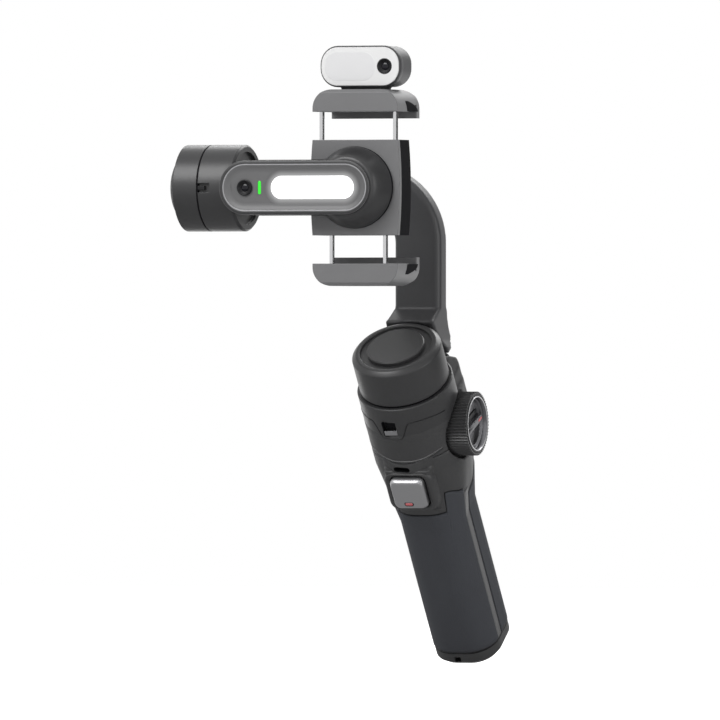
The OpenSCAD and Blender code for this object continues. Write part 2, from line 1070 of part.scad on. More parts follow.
// The bar behind the light arm, with hollow curves where it meets the round cover
module fairing() {
    half = pill_r - cut;
    round_r = roll_r - skin;
    share = round_r / (round_r + fairing_r);
    centre_x = sqrt(pow(round_r + fairing_r, 2) - pow(half + fairing_r, 2));
    translate([-fairing_x, -half])
        square([fairing_x, 2 * half]);
    for (side = [-1, 1])
        difference() {
            polygon([
                [0, 0], [-centre_x, 0], [-centre_x, side * half],
                [-centre_x * share, side * (half + fairing_r) * share]
            ]);
            translate([-centre_x, side * (half + fairing_r)])
                circle(fairing_r - slip / 2);
        }
}

// The dark cover of the roll motor
module roll_cover() {
    color("#343436") in_head() difference() {
        union() {
            translate([0, pill_back - cone_h + cut, 0])
                rotate([-90, 0, 0])
                    cylinder(r1 = cone_r, r2 = roll_r, h = cone_h);
            translate([0, pill_back + cut, 0])
                along_y(roll_r, cover_back - pill_back - cut);
            translate([0, pill_back, 0])
                plate_y(cover_back - pill_back - cut)
                    fairing();
        }
        translate([0, pill_face - cut, 0])
            plate_y(pill_t + cut)
                pill(pill_r);
        translate([0, roll_floor, 0])
            along_y(roll_cavity_r, roll_stator_l + cut);
        translate([0, pill_back - cut, 0])
            along_y(shaft_r + slip, pill_t);
    }
}

module roll_stator() {
    color("#b07a4a") in_head()
        translate([0, roll_floor, 0])
            rotate([-90, 0, 0])
                ring(roll_stator_r, bearing_r, roll_stator_l);
}

module roll_bearings() {
    color("#b4b4b6") in_head()
        translate([0, roll_floor, 0])
            rotate([-90, 0, 0])
                ring(bearing_r, shaft_r + run_gap, bearing_t);
}

shaft_seat = 8;

module roll_shaft() {
    color("#b8b8ba") in_head()
        translate([0, pill_back + slip, 0])
            along_y(shaft_r, block_front + shaft_seat - pill_back - slip);
}

// Clamp
cover_plate_t = 2.6;
fine_sides = 720;
bulge = 1;
bulge_r = (block_h * block_h / 4 + bulge * bulge) / (2 * bulge);
body_side = 0.8;
rod_r = rod_d / 2;
rod_cover = 1;
rod_y = block_front + cover_plate_t + rod_r + rod_cover;
rod_in = 27;
rod_seat = 4;
rod_travel = 10;
front_t = 3;
jaw_r = 9;
lip_t = 3.6;
lip_drop = 3;
jaw_bevel = 3;
pad_gap = 1.6;
pad_rise = 3.6;
pad_over = 2.4;
pad_front = block_back - pad_over;
pad_back = jaw_back - lip_t;
jaw_top = jaw_gap / 2 + jaw_h;

module clamp_body() {
    color("#2f2f31") in_head() difference() {
        translate([0, block_front + cover_plate_t, 0])
            plate_y(block_d - cover_plate_t)
                barrel(clamp_w / 2 + bulge - body_side);
        translate([0, block_front - cut, 0])
            along_y(shaft_r, cut + shaft_seat);
        for (x = [-1, 1]) {
            translate([x * upper_pitch / 2, rod_y, jaw_gap / 2 - rod_in - rod_travel - (jaw_gap - block_h) / 2])
                cylinder(r = rod_r + slip / 4, h = block_h + rod_in);
            translate([x * lower_pitch / 2, rod_y, -block_h])
                cylinder(r = rod_r + slip / 4, h = block_h - jaw_gap / 2 + rod_in + rod_travel + (jaw_gap - block_h) / 2);
        }
    }
}

// The clamp's outline from the front: level top and bottom, sides bowed outwards
module barrel(half) {
    intersection() {
        square([2 * half, block_h], center = true);
        translate([half - bulge_r, 0])
            circle(bulge_r, $fn = fine_sides);
        translate([bulge_r - half, 0])
            circle(bulge_r, $fn = fine_sides);
    }
}

module clamp_cover() {
    color("#6a6a6c") in_head() difference() {
        translate([0, block_front, 0])
            plate_y(cover_plate_t)
                barrel(clamp_w / 2 + bulge);
        translate([0, block_front - cut, 0])
            along_y(shaft_r, cut + shaft_seat);
    }
}

// An upper jaw from the side: front plate, roof, lip behind, and the groove for its pad
module jaw_side() {
    low = jaw_gap / 2;
    difference() {
        polygon([
            [block_front, low], [block_front, jaw_top - jaw_bevel / 2],
            [block_front + jaw_bevel / 2, jaw_top], [jaw_back - jaw_bevel, jaw_top],
            [jaw_back, jaw_top - jaw_bevel], [jaw_back, low - lip_drop],
            [pad_back, low - lip_drop], [pad_back, low]
        ]);
        polygon([
            [pad_front, low - cut], [pad_front, low], [pad_back - skin, low + pad_rise],
            [pad_back, low + pad_rise], [pad_back, low - cut]
        ]);
    }
}

module jaw_front() {
    translate([0, jaw_top / 2])
        intersection() {
            rounded_rect(clamp_w, jaw_top, jaw_r);
            square([clamp_w, 2 * jaw_top], center = true);
        }
}

module jaw(pitch) {
    difference() {
        intersection() {
            translate([-clamp_w / 2, 0, 0])
                rotate([90, 0, 90])
                    linear_extrude(clamp_w)
                        jaw_side();
            translate([0, block_front - cut, 0])
                plate_y(jaw_d + 2 * cut)
                    jaw_front();
        }
        for (x = [-1, 1])
            translate([x * pitch / 2, rod_y, 0])
                cylinder(r = rod_r, h = jaw_gap / 2 + rod_seat);
    }
}

module jaw_pad() {
    translate([-clamp_w / 2 + pad_gap, 0, 0])
        rotate([90, 0, 90])
            linear_extrude(clamp_w - 2 * pad_gap)
                polygon([
                    [pad_front, jaw_gap / 2], [pad_back - skin, jaw_gap / 2 + pad_rise],
                    [pad_back, jaw_gap / 2 + pad_rise], [pad_back, jaw_gap / 2]
                ]);
}

module rods(pitch) {
    for (x = [-1, 1])
        translate([x * pitch / 2, rod_y, block_h / 2 - rod_in])
            cylinder(r = rod_r, h = jaw_gap / 2 + rod_seat - block_h / 2 + rod_in);
}

module upper_jaw() {
    color("#6c6c6e") in_head()
        jaw(upper_pitch);
}

module upper_rods() {
    color("#c8c8ca") in_head()
        rods(upper_pitch);
}

module upper_pad() {
    color("#161618") in_head()
        jaw_pad();
}

module lower_jaw() {
    color("#6c6c6e") in_head()
        mirror([0, 0, 1])
            jaw(lower_pitch);
}

module lower_rods() {
    color("#c8c8ca") in_head()
        mirror([0, 0, 1])
            rods(lower_pitch);
}

module lower_pad() {
    color("#161618") in_head()
        mirror([0, 0, 1])
            jaw_pad();
}

// Tracking camera
track_soft = 1;
track_r = track_h / 2 - track_soft;
track_in = 6.4;
track_front = block_front + track_in;
foot_t = 1.2;
foot_side_in = 4;
face_t = 1.2;
face_in = 0.6;
track_lens_r = 3.6;
track_lens_x = 12.4;
track_lens_t = 1.8;

module in_tracker() {
    in_head()
        translate([0, track_front, jaw_top + foot_t + track_h / 2])
            children();
}

module tracker_body() {
    color("#4a4a4c") in_tracker() difference() {
        union() {
            translate([0, face_t, 0])
                plate_y(track_d - face_t)
                    rounded_rect(track_w, track_h, track_r);
            translate([-track_w / 2 + track_r + cut, foot_side_in / 2, -track_h / 2 - foot_t])
                cube([track_w - 2 * track_r - 2 * cut, track_d - foot_side_in, foot_t + cut]);
        }
        translate([track_lens_x, face_t - cut, 0])
            along_y(track_lens_r, track_lens_t + cut - face_t + skin);
    }
}

module tracker_face() {
    color("#dcdcdc") in_tracker() difference() {
        plate_y(face_t)
            rounded_rect(track_w - 2 * face_in, track_h - 2 * face_in, track_r - face_in);
        translate([track_lens_x, -cut, 0])
            along_y(track_lens_r, face_t + 2 * cut);
    }
}

module tracker_lens() {
    color("#101014") in_tracker()
        translate([track_lens_x, skin, 0])
            along_y(track_lens_r, track_lens_t);
}

grip_shell();
front_pad();
rear_pad();
base_cap();
tripod_insert();
battery_cell();
main_board();
usb_port();
head_shell();
pan_collar();
control_panel();
joystick_ring();
joystick();
record_button();
mode_button();
power_button();
pan_lock();
trigger();
trigger_pin();
wheel_shaft();
wheel_rim();
wheel_ring();
wheel_dish();
pan_stator();
pan_bearings();
pan_rotor();
pan_magnets();
pan_shaft();
pan_cap();
rear_arm();
arm_cover();
tilt_housing();
tilt_cap();
tilt_stator();
tilt_bearings();
tilt_shaft();
tilt_rotor();
tilt_magnets();
tilt_lock();
light_arm();
light_trim();
light_diffuser();
light_board();
arm_lens();
status_led();
roll_cover();
roll_stator();
roll_bearings();
roll_shaft();
clamp_body();
clamp_cover();
upper_jaw();
upper_rods();
upper_pad();
lower_jaw();
lower_rods();
lower_pad();
tracker_body();
tracker_face();
tracker_lens();
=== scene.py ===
# %% [markdown]
# # A phone gimbal, dressed around its working model
# The working model is a set of exact solids that move on joints. It is loaded first and stays as it is.
# This lesson gives each solid its finish, rounds four of them with modifiers, and adds the pieces that are
# better made as meshes: lens glass, soft panels, raised marks and small trim.

# %% Load the working model
import json
import math

import bpy
from mathutils import Matrix, Vector
from mathutils.bvhtree import BVHTree


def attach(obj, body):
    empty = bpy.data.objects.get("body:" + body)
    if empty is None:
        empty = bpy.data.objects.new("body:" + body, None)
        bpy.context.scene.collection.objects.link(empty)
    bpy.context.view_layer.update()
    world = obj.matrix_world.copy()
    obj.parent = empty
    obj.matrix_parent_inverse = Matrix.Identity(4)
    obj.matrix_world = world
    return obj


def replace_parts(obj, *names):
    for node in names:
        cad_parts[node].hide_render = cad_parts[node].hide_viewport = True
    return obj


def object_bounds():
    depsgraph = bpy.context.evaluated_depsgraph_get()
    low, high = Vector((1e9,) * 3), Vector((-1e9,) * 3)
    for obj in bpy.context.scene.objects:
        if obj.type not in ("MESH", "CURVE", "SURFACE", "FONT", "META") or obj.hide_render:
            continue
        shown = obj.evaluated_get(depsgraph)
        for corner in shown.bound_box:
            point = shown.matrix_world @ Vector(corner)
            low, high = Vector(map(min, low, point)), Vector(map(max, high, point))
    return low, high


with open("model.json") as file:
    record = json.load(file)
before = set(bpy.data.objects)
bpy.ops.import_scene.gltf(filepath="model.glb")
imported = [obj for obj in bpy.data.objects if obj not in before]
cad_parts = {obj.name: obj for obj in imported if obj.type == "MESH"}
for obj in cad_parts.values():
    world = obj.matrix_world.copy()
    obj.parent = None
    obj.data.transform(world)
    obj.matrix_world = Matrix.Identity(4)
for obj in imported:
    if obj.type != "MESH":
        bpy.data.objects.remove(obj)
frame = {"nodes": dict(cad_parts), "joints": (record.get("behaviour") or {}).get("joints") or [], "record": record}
cad_low, cad_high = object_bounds()
nodes = frame["nodes"]
print("pieces in the model:", len(nodes))

# %% [markdown]
# ## The lean of the handle
# The head of the gimbal is level, and the handle leans forward under it. Work on the handle is easier in
# its own upright space, so one matrix carries a piece from there to its place. The lean is read from the
# axis of the pan joint, so it is never typed twice.

# %% The handle's own space
MM = 0.001
joints = {joint["name"]: joint for joint in frame["joints"]}
pan_axis = Vector(joints["pan"]["axis"]).normalized()
lean_angle = math.atan2(-pan_axis.y, pan_axis.z)
LEAN = Matrix.Rotation(lean_angle, 4, "X")
HEAD = Vector(joints["tilt"]["pos_m"])
print("handle leans", round(math.degrees(lean_angle), 1), "degrees")

# %% [markdown]
# ## The camera
# A product picture is taken from far away with a long lens, so that parallel edges stay parallel. The
# camera stands level, a little to the side of the light, and far back. Two values place the object in the
# picture: how many millimetres one pixel covers at the head, and the pixel where the handle's foot stands.

# %% The camera
PHOTO = 720
YAW = math.radians(21.5)
MM_PER_PIXEL = 0.473
CAMERA_DISTANCE = 8.0
BASE_PIXEL = (476, 648)
HEAD_DEPTH = 0.147
SENSOR = 36
FAR_END = 40

right = Vector((math.cos(YAW), math.sin(YAW), 0))
toward = Vector((math.sin(YAW), -math.cos(YAW), 0))
across = (PHOTO / 2 - BASE_PIXEL[0]) * MM_PER_PIXEL * MM
height = (BASE_PIXEL[1] - PHOTO / 2) * MM_PER_PIXEL * MM
target = right * across + Vector((0, 0, height)) + toward * HEAD_DEPTH

camera_data = bpy.data.cameras.new("camera")
camera = bpy.data.objects.new("camera", camera_data)
bpy.context.scene.collection.objects.link(camera)
bpy.context.scene.camera = camera
camera.location = target + toward * CAMERA_DISTANCE
camera.rotation_euler = (-toward).to_track_quat("-Z", "Y").to_euler()
camera_data.sensor_width = SENSOR
camera_data.lens = SENSOR * CAMERA_DISTANCE / (PHOTO * MM_PER_PIXEL * MM)
camera_data.clip_end = FAR_END
print("lens:", round(camera_data.lens), "mm")

# %% [markdown]
# ## Helpers for shader nodes
# Every finish here is built from nodes, so that it keeps its grain at any distance. Short helpers add a node
# with its values, start a node group and end it, and make a material from a group.

# %% Node helpers
def add_node(tree, kind, **values):
    node = tree.nodes.new(kind)
    for name, value in values.items():
        if hasattr(node, name):
            setattr(node, name, value)
        else:
            node.inputs[name.replace("_", " ")].default_value = value
    return node


def new_group(name, inputs, outputs):
    tree = bpy.data.node_groups.new(name, "ShaderNodeTree")
    for label, kind, default in inputs:
        socket = tree.interface.new_socket(label, in_out="INPUT", socket_type=kind)
        socket.default_value = default
    for label, kind in outputs:
        tree.interface.new_socket(label, in_out="OUTPUT", socket_type=kind)
    return tree, tree.nodes.new("NodeGroupInput"), tree.nodes.new("NodeGroupOutput")


def remap(tree, value, low, high):
    """Stretch a value between 0 and 1 to the range from low to high."""
    node = add_node(tree, "ShaderNodeMapRange", To_Min=low, To_Max=high)
    tree.links.new(value, node.inputs["Value"])
    return node.outputs[0]


def end_group(tree, source, result, color, factor, height, depth, distance):
    """Hand over the colour, the roughness times factor, and a normal with soft edges and a fine bump."""
    link = tree.links.new
    rough = add_node(tree, "ShaderNodeMath", operation="MULTIPLY", use_clamp=True)
    link(source.outputs["Roughness"], rough.inputs[0])
    link(factor, rough.inputs[1])
    soft_edge = add_node(tree, "ShaderNodeBevel", samples=4)
    link(source.outputs["Edge Radius"], soft_edge.inputs["Radius"])
    bump = add_node(tree, "ShaderNodeBump", Distance=distance)
    link(soft_edge.outputs[0], bump.inputs["Normal"])
    link(source.outputs[depth], bump.inputs["Strength"])
    link(height, bump.inputs["Height"])
    link(color, result.inputs["Color"])
    link(rough.outputs[0], result.inputs["Roughness"])
    link(bump.outputs[0], result.inputs["Normal"])
    return tree


def finish_from(group_tree, name, rough, metal, values, extra):
    """A material whose colour, roughness and normal come from a group with the given values."""
    material = bpy.data.materials.new(name)
    material.use_nodes = True
    tree = material.node_tree
    shader = tree.nodes["Principled BSDF"]
    shader.inputs["Roughness"].default_value = rough
    shader.inputs["Metallic"].default_value = metal
    for label, value in extra.items():
        shader.inputs[label.replace("_", " ")].default_value = value
    group = tree.nodes.new("ShaderNodeGroup")
    group.node_tree = group_tree
    for label, value in values.items():
        group.inputs[label].default_value = value
    for label, target in (("Color", "Base Color"), ("Roughness", "Roughness"), ("Normal", "Normal")):
        tree.links.new(group.outputs[label], shader.inputs[target])
    return material


# %% [markdown]
# ## Moulded grain
# Moulded plastic and soft paint are never mirror smooth. A fine noise gives the micro texture of the
# mould, a slow noise gives the faint clouding of handled surfaces, and both stay fixed to the object. The
# same group serves every plastic here, each time with its own colour and grain.

# %% The grain group
def make_grain_group():
    tree, source, result = new_group(
        "moulded grain",
        [("Color", "NodeSocketColor", (0.1, 0.1, 0.1, 1)), ("Roughness", "NodeSocketFloat", 0.5),
         ("Grain Size", "NodeSocketFloat", 4.0), ("Grain Depth", "NodeSocketFloat", 0.1),
         ("Clouding", "NodeSocketFloat", 0.05), ("Edge Radius", "NodeSocketFloat", 0.0004)],
        [("Color", "NodeSocketColor"), ("Roughness", "NodeSocketFloat"), ("Normal", "NodeSocketVector")])
    link = tree.links.new
    place = add_node(tree, "ShaderNodeTexCoord")
    scale = add_node(tree, "ShaderNodeMath", operation="MULTIPLY")
    scale.inputs[1].default_value = 1 / MM
    link(source.outputs["Grain Size"], scale.inputs[0])
    fine = add_node(tree, "ShaderNodeTexNoise", Detail=2.0)
    link(place.outputs["Object"], fine.inputs["Vector"])
    link(scale.outputs[0], fine.inputs["Scale"])
    slow = add_node(tree, "ShaderNodeTexNoise", Scale=55.0, Detail=3.0)
    link(place.outputs["Object"], slow.inputs["Vector"])
    cloud = add_node(tree, "ShaderNodeMath", operation="MULTIPLY_ADD")
    link(remap(tree, slow.outputs["Fac"], -1, 1), cloud.inputs[0])
    link(source.outputs["Clouding"], cloud.inputs[1])
    cloud.inputs[2].default_value = 1
    tint = add_node(tree, "ShaderNodeVectorMath", operation="SCALE")
    link(source.outputs["Color"], tint.inputs[0])
    link(cloud.outputs[0], tint.inputs["Scale"])
    return end_group(tree, source, result, tint.outputs[0], cloud.outputs[0], fine.outputs["Fac"],
                     "Grain Depth", 0.0001)


grain_group = make_grain_group()


def grained(name, color, rough, size=2.5, depth=0.15, clouding=0.06, edge=0.4, **extra):
    """Moulded plastic or satin paint. Size is how many grains fit a millimetre, and edge is in mm."""
    values = {"Color": (*color, 1), "Roughness": rough, "Grain Size": size, "Grain Depth": depth,
              "Clouding": clouding, "Edge Radius": edge * MM}
    return finish_from(grain_group, name, rough, 0.0, values, extra)


# %% [markdown]
# ## Brushed and turned metal
# Rods, screws and dishes are metal, and metal gets its look from what it reflects. Machining leaves fine
# parallel lines, so a noise that is stretched along one axis drives both roughness and a tiny bump.

# %% The brushed group
def make_brushed_group():
    tree, source, result = new_group(
        "brushed metal",
        [("Color", "NodeSocketColor", (0.6, 0.6, 0.6, 1)), ("Roughness", "NodeSocketFloat", 0.2),
         ("Stretch", "NodeSocketVector", (1, 1, 1)), ("Line Depth", "NodeSocketFloat", 0.1),
         ("Edge Radius", "NodeSocketFloat", 0.0002)],
        [("Color", "NodeSocketColor"), ("Roughness", "NodeSocketFloat"), ("Normal", "NodeSocketVector")])
    link = tree.links.new
    place = add_node(tree, "ShaderNodeTexCoord")
    stretch = add_node(tree, "ShaderNodeVectorMath", operation="MULTIPLY")
    link(place.outputs["Object"], stretch.inputs[0])
    link(source.outputs["Stretch"], stretch.inputs[1])
    lines = add_node(tree, "ShaderNodeTexNoise", Scale=1000.0, Detail=2.0)
    link(stretch.outputs[0], lines.inputs["Vector"])
    line = lines.outputs["Fac"]
    tint = add_node(tree, "ShaderNodeVectorMath", operation="SCALE")
    link(source.outputs["Color"], tint.inputs[0])
    link(remap(tree, line, 0.93, 1.04), tint.inputs["Scale"])
    return end_group(tree, source, result, tint.outputs[0], remap(tree, line, 0.75, 1.25), line,
                     "Line Depth", 0.00003)


brushed_group = make_brushed_group()


def brushed(name, color, rough, stretch=(1, 1, 1), depth=0.15, edge=0.2, **extra):
    """Machined metal. A small number in stretch makes the lines long along that axis."""
    values = {"Color": (*color, 1), "Roughness": rough, "Stretch": stretch, "Line Depth": depth,
              "Edge Radius": edge * MM}
    return finish_from(brushed_group, name, rough, 1.0, values, extra)


# %% [markdown]
# ## The finishes
# A gimbal like this has a small family of finishes: charcoal moulded plastic on the handle, a satin paint on
# the motor bells, a mid grey on the clamp and the light arm, soft rubber on the grip, and a few bits of
# bright metal. The two lit pieces glow by themselves, so that they read as switched on. Some pieces need a
# finish of their own within a slot.

# %% Finishes by slot
DISH_GREY = (0.088, 0.088, 0.090)
finishes = {
    "shell": grained("charcoal plastic", (0.032, 0.032, 0.033), 0.50, size=3.2, depth=0.28, edge=0.6,
                     Specular_IOR_Level=0.34),
    "motor": grained("satin motor paint", (0.026, 0.026, 0.027), 0.36, size=5.0, depth=0.12, clouding=0.04,
                     Specular_IOR_Level=0.42),
    "arm": grained("satin arm paint", (0.034, 0.034, 0.036), 0.42, size=4.5, depth=0.15, clouding=0.04,
                   edge=0.7, Specular_IOR_Level=0.4),
    "mid_grey": grained("mid grey plastic", (0.120, 0.120, 0.123), 0.45, size=3.6, depth=0.22, edge=0.7),
    "dish_grey": grained("dished grey plastic", DISH_GREY, 0.45, size=3.6, depth=0.22, edge=0.7),
    "pad": grained("soft grip rubber", (0.032, 0.034, 0.040), 0.74, size=1.6, depth=0.75, clouding=0.09,
                   Specular_IOR_Level=0.35),
    "black": grained("black plastic", (0.008, 0.008, 0.009), 0.36, size=4.0, depth=0.1,
                     Specular_IOR_Level=0.25),
    # Matte black for black parts, and also laid where there is only shade: painted shade in the jaws' openings,
    # the gap behind the roll dome, the charging port and the motors' gaps.
    "matte_black": grained("matte black", (0.007, 0.007, 0.008), 0.75, size=3.0, depth=0.2,
                           Specular_IOR_Level=0.05),
    # A lighter copy of the charcoal shell for the side strips: painted light, where the handle's sides catch the
    # lamps.
    "painted_light_strip": grained("satin strip painted light", (0.055, 0.055, 0.057), 0.42, size=4.0, depth=0.12, clouding=0.03,
                        Specular_IOR_Level=0.4),
    "steel": brushed("polished steel", (0.60, 0.60, 0.61), 0.12, (3, 3, 0.12), depth=0.1),
    "satin_metal": brushed("satin aluminium", (0.36, 0.36, 0.37), 0.34, (0.3, 2.5, 2.5), depth=0.3),
    "copper": brushed("enamelled winding", (0.55, 0.27, 0.12), 0.3, (0.6, 0.6, 3), depth=0.8),
    "magnet": brushed("nickel plate", (0.5, 0.49, 0.47), 0.22, (1, 1, 1), depth=0.1),
    "board": grained("lacquered board", (0.015, 0.09, 0.045), 0.3, size=1.2, depth=0.3, clouding=0.25),
    "cell": grained("shrink wrap", (0.035, 0.09, 0.2), 0.32, size=0.8, depth=0.2, clouding=0.1),
    "face": grained("light grey face", (0.60, 0.60, 0.60), 0.4, size=4.0, depth=0.1, clouding=0.02),
    "lens": grained("dark lens", (0.004, 0.004, 0.007), 0.09, size=2.0, depth=0.0, clouding=0.1,
                    Specular_IOR_Level=0.3),
    "diffuser": grained("lit diffuser", (0.9, 0.9, 0.9), 0.5, size=1.5, depth=0.2, clouding=0.03,
                        Emission_Color=(1, 1, 1, 1), Emission_Strength=0.9),
    "led": grained("lit green window", (0.015, 0.3, 0.015), 0.35, size=2.0, depth=0.1,
                   Emission_Color=(0.02, 0.66, 0.02, 1), Emission_Strength=0.85),
    # A lighter charcoal for the flat ribbon beside the lower seam: a painted highlight of its bevel.
    "painted_highlight_line": grained("charcoal strip painted as a highlight", (0.048, 0.048, 0.050), 0.46, size=3.2, depth=0.2),
    "window": grained("tinted grey window", (0.565, 0.565, 0.57), 0.3, size=4.0, depth=0.05, clouding=0.02),
    "trigger": brushed("satin trigger metal", (0.42, 0.42, 0.43), 0.36, (2.5, 0.3, 2.5), depth=0.3, edge=0.4),
    "dish": brushed("turned dish metal", (0.19, 0.19, 0.20), 0.34, (2.5, 2.5, 2.5), depth=0.2, edge=0.4),
    "button_red": grained("muted red paint", (0.42, 0.09, 0.10), 0.42, size=2.0, depth=0.1),
}
print("finishes:", ", ".join(sorted(finishes)))

# %% [markdown]
# ## Every solid gets its finish
# The record says which slot each solid belongs to, and four solids get a darker or lighter look within it.
# The solids already carry smooth normals on their round faces from the CAD kernel, so they only need a
# finish. Their edges are softened in the finish itself, by the Bevel node in each group, which bends the
# normal near an edge and leaves the solid's shape alone.

# %% Dress the solids
def give_finish(obj, finish):
    obj.data.materials.clear()
    obj.data.materials.append(finish)


look_of = {piece["node"]: piece["material_slot"] for piece in frame["record"]["subparts"]}
look_of.update(clamp_body="matte_black", wheel_rim="motor", tracker_body="arm", light_arm="dish_grey")
for name, solid in nodes.items():
    give_finish(solid, finishes[look_of[name]])
print("solids dressed:", len(look_of))

# %% [markdown]
# ## Studio
# A product photograph has a white sweep, one large soft light high in front and weaker ones beside it. The
# world is white to the camera and to reflections, so that metal and lenses show a white room, but it is
# weaker as a light, which leaves room for the lamps to shape the form.

# %% Studio helpers
scene = bpy.context.scene
scene.view_settings.view_transform = "Standard"


def light_path_mix(tree, shown, lighting):
    """What the camera and reflections see, and in its place another shader for the light that it gives."""
    path = add_node(tree, "ShaderNodeLightPath")
    either = add_node(tree, "ShaderNodeMath", operation="MAXIMUM")
    any_view = add_node(tree, "ShaderNodeMath", operation="MAXIMUM")
    tree.links.new(path.outputs["Is Camera Ray"], either.inputs[0])
    tree.links.new(path.outputs["Is Glossy Ray"], either.inputs[1])
    tree.links.new(either.outputs[0], any_view.inputs[0])
    tree.links.new(path.outputs["Is Transmission Ray"], any_view.inputs[1])
    mix = tree.nodes.new("ShaderNodeMixShader")
    tree.links.new(any_view.outputs[0], mix.inputs["Fac"])
    tree.links.new(lighting, mix.inputs[1])
    tree.links.new(shown, mix.inputs[2])
    return mix.outputs[0]


def card(name, centre, across, up, material):
    """A flat card that is part of the studio. Across and up reach from its centre to its edges."""
    mesh = bpy.data.meshes.new(name)
    mesh.from_pydata([centre - across - up, centre + across - up, centre + across + up, centre - across + up],
                     [], [(0, 1, 2, 3)])
    piece = bpy.data.objects.new(name, mesh)
    scene.collection.objects.link(piece)
    give_finish(piece, material)
    return piece


# %% World and floor
FLOOR_HALF = 2.5
FLOOR_GAP = 0.0005
PAPER_SHADE = 0.82
PAPER_GLOW = 0.80
WORLD_LIGHT = 0.30

world = bpy.data.worlds.new("studio")
world.use_nodes = True
scene.world = world
sky = world.node_tree
sky.nodes.clear()
seen = add_node(sky, "ShaderNodeBackground", Color=(1, 1, 1, 1))
lit = add_node(sky, "ShaderNodeBackground", Color=(1, 1, 1, 1), Strength=WORLD_LIGHT)
surface = sky.nodes.new("ShaderNodeOutputWorld")
sky.links.new(light_path_mix(sky, seen.outputs[0], lit.outputs[0]), surface.inputs["Surface"])

paper = bpy.data.materials.new("white paper sweep")
paper.use_nodes = True
sweep = paper.node_tree
sweep.nodes.clear()
matte = add_node(sweep, "ShaderNodeBsdfDiffuse")
matte.inputs["Color"].default_value = (PAPER_SHADE, PAPER_SHADE, PAPER_SHADE, 1)
glow = add_node(sweep, "ShaderNodeEmission", Strength=PAPER_GLOW)
both = sweep.nodes.new("ShaderNodeAddShader")
sweep.links.new(matte.outputs[0], both.inputs[0])
sweep.links.new(glow.outputs[0], both.inputs[1])
sheet_out = sweep.nodes.new("ShaderNodeOutputMaterial")
sweep.links.new(light_path_mix(sweep, both.outputs[0], matte.outputs[0]), sheet_out.inputs["Surface"])
floor_z = cad_low[2] - FLOOR_GAP
card("floor", Vector((0, 0, floor_z)), Vector((FLOOR_HALF, 0, 0)), Vector((0, FLOOR_HALF, 0)), paper)
print("floor is", FLOOR_HALF * 2, "m wide")

# %% [markdown]
# ## Lamps
# Three area lamps: a large key above and in front on the left, a tall fill on the right that draws the
# long highlights down the handle and the rods, and a rim lamp behind that parts dark edges from each other.

# %% Lamps
def area_lamp(name, place, aim, size, power):
    data = bpy.data.lights.new(name, "AREA")
    data.shape = "RECTANGLE"
    data.size, data.size_y = size
    data.energy = power
    lamp = bpy.data.objects.new(name, data)
    scene.collection.objects.link(lamp)
    lamp.location = place
    lamp.rotation_euler = (aim - place).to_track_quat("-Z", "Y").to_euler()


middle = (Vector(cad_low) + Vector(cad_high)) / 2
upward = Vector((0, 0, 1))
for name, near, aside, above, size, power in (("key", 0.8, -0.7, 0.9, (0.8, 0.8), 16),
                                              ("fill", 0.7, 0.9, 0.25, (0.3, 1.1), 9),
                                              ("rim", -0.8, 0.3, 0.8, (1.0, 0.5), 7)):
    area_lamp(name, middle + toward * near + right * aside + upward * above, middle, size, power)
    print(name, "lamp:", power, "W")

# %% [markdown]
# ## Flags
# A polished rod in an all-white room looks like a white stick. Photographers stand black cards, called
# flags, beside the object, so that metal and satin paint show a dark side. These two are seen only by
# reflections: the camera looks through them, and they take no light away from the object.

# %% Two flags
def card_shade(name, brightness):
    material = bpy.data.materials.new(name)
    material.use_nodes = True
    tree = material.node_tree
    tree.nodes.clear()
    sheen = add_node(tree, "ShaderNodeEmission", Strength=brightness)
    out = tree.nodes.new("ShaderNodeOutputMaterial")
    tree.links.new(sheen.outputs[0], out.inputs["Surface"])
    return material


def flag(name, centre, across, up, shade):
    piece = card(name, centre, across, up, shade)
    piece.visible_camera = piece.visible_diffuse = piece.visible_shadow = piece.visible_transmission = False


OFF_FLOOR = 0.001
side_way = (right * 0.966 + toward * 0.259).normalized()
side_across = side_way.cross(upward).normalized() * 1.1
flag("side_flag", middle + side_way * 0.9, side_across, upward * 1.2, card_shade("black card", 0.02))
low_middle = Vector((middle.x, middle.y, floor_z + OFF_FLOOR)) + toward * 0.42
flag("low_flag", low_middle, right * 1.2, toward * 0.78, card_shade("grey card", 0.42))
print("flags: 2, the lower one", round((low_middle - middle).length, 2), "m from the middle")

# %% [markdown]
# ## Drawing on the handle's skin
# Soft panels and parting lines follow the curved skin of the handle. The surest way to lay something on a
# curved surface is to ask the surface where it is: a ray is sent from outside towards the handle's axis,
# and the place where it meets the skin is kept, with the direction that the skin faces there.

# %% Rays onto the skin
UPRIGHT = LEAN.inverted()
RAY_START = 0.08
FRONT = -90
BACK = 90


def skin_of(*names):
    corners, faces = [], []
    for name in names:
        start = len(corners)
        corners += [UPRIGHT @ v.co for v in nodes[name].data.vertices]
        faces += [[start + i for i in face.vertices] for face in nodes[name].data.polygons]
    return BVHTree.FromPolygons(corners, faces)


def on_skin(angle, height, lift=0.0):
    """The skin's point at an angle round the axis and a height along it, in mm, lifted off it by lift mm."""
    turn = math.radians(angle)
    out = Vector((math.cos(turn), math.sin(turn), 0))
    hit, normal, _, _ = handle_skin.ray_cast(Vector((0, 0, height * MM)) + out * RAY_START, -out)
    if normal.dot(out) < 0:
        normal = -normal
    return hit + normal * lift * MM, normal


handle_skin = skin_of("grip_shell", "front_pad", "rear_pad", "base_cap", "head_shell", "pan_collar")
print("grip is", round(on_skin(0, 40)[0].x / MM, 2), "mm from its axis at the side")
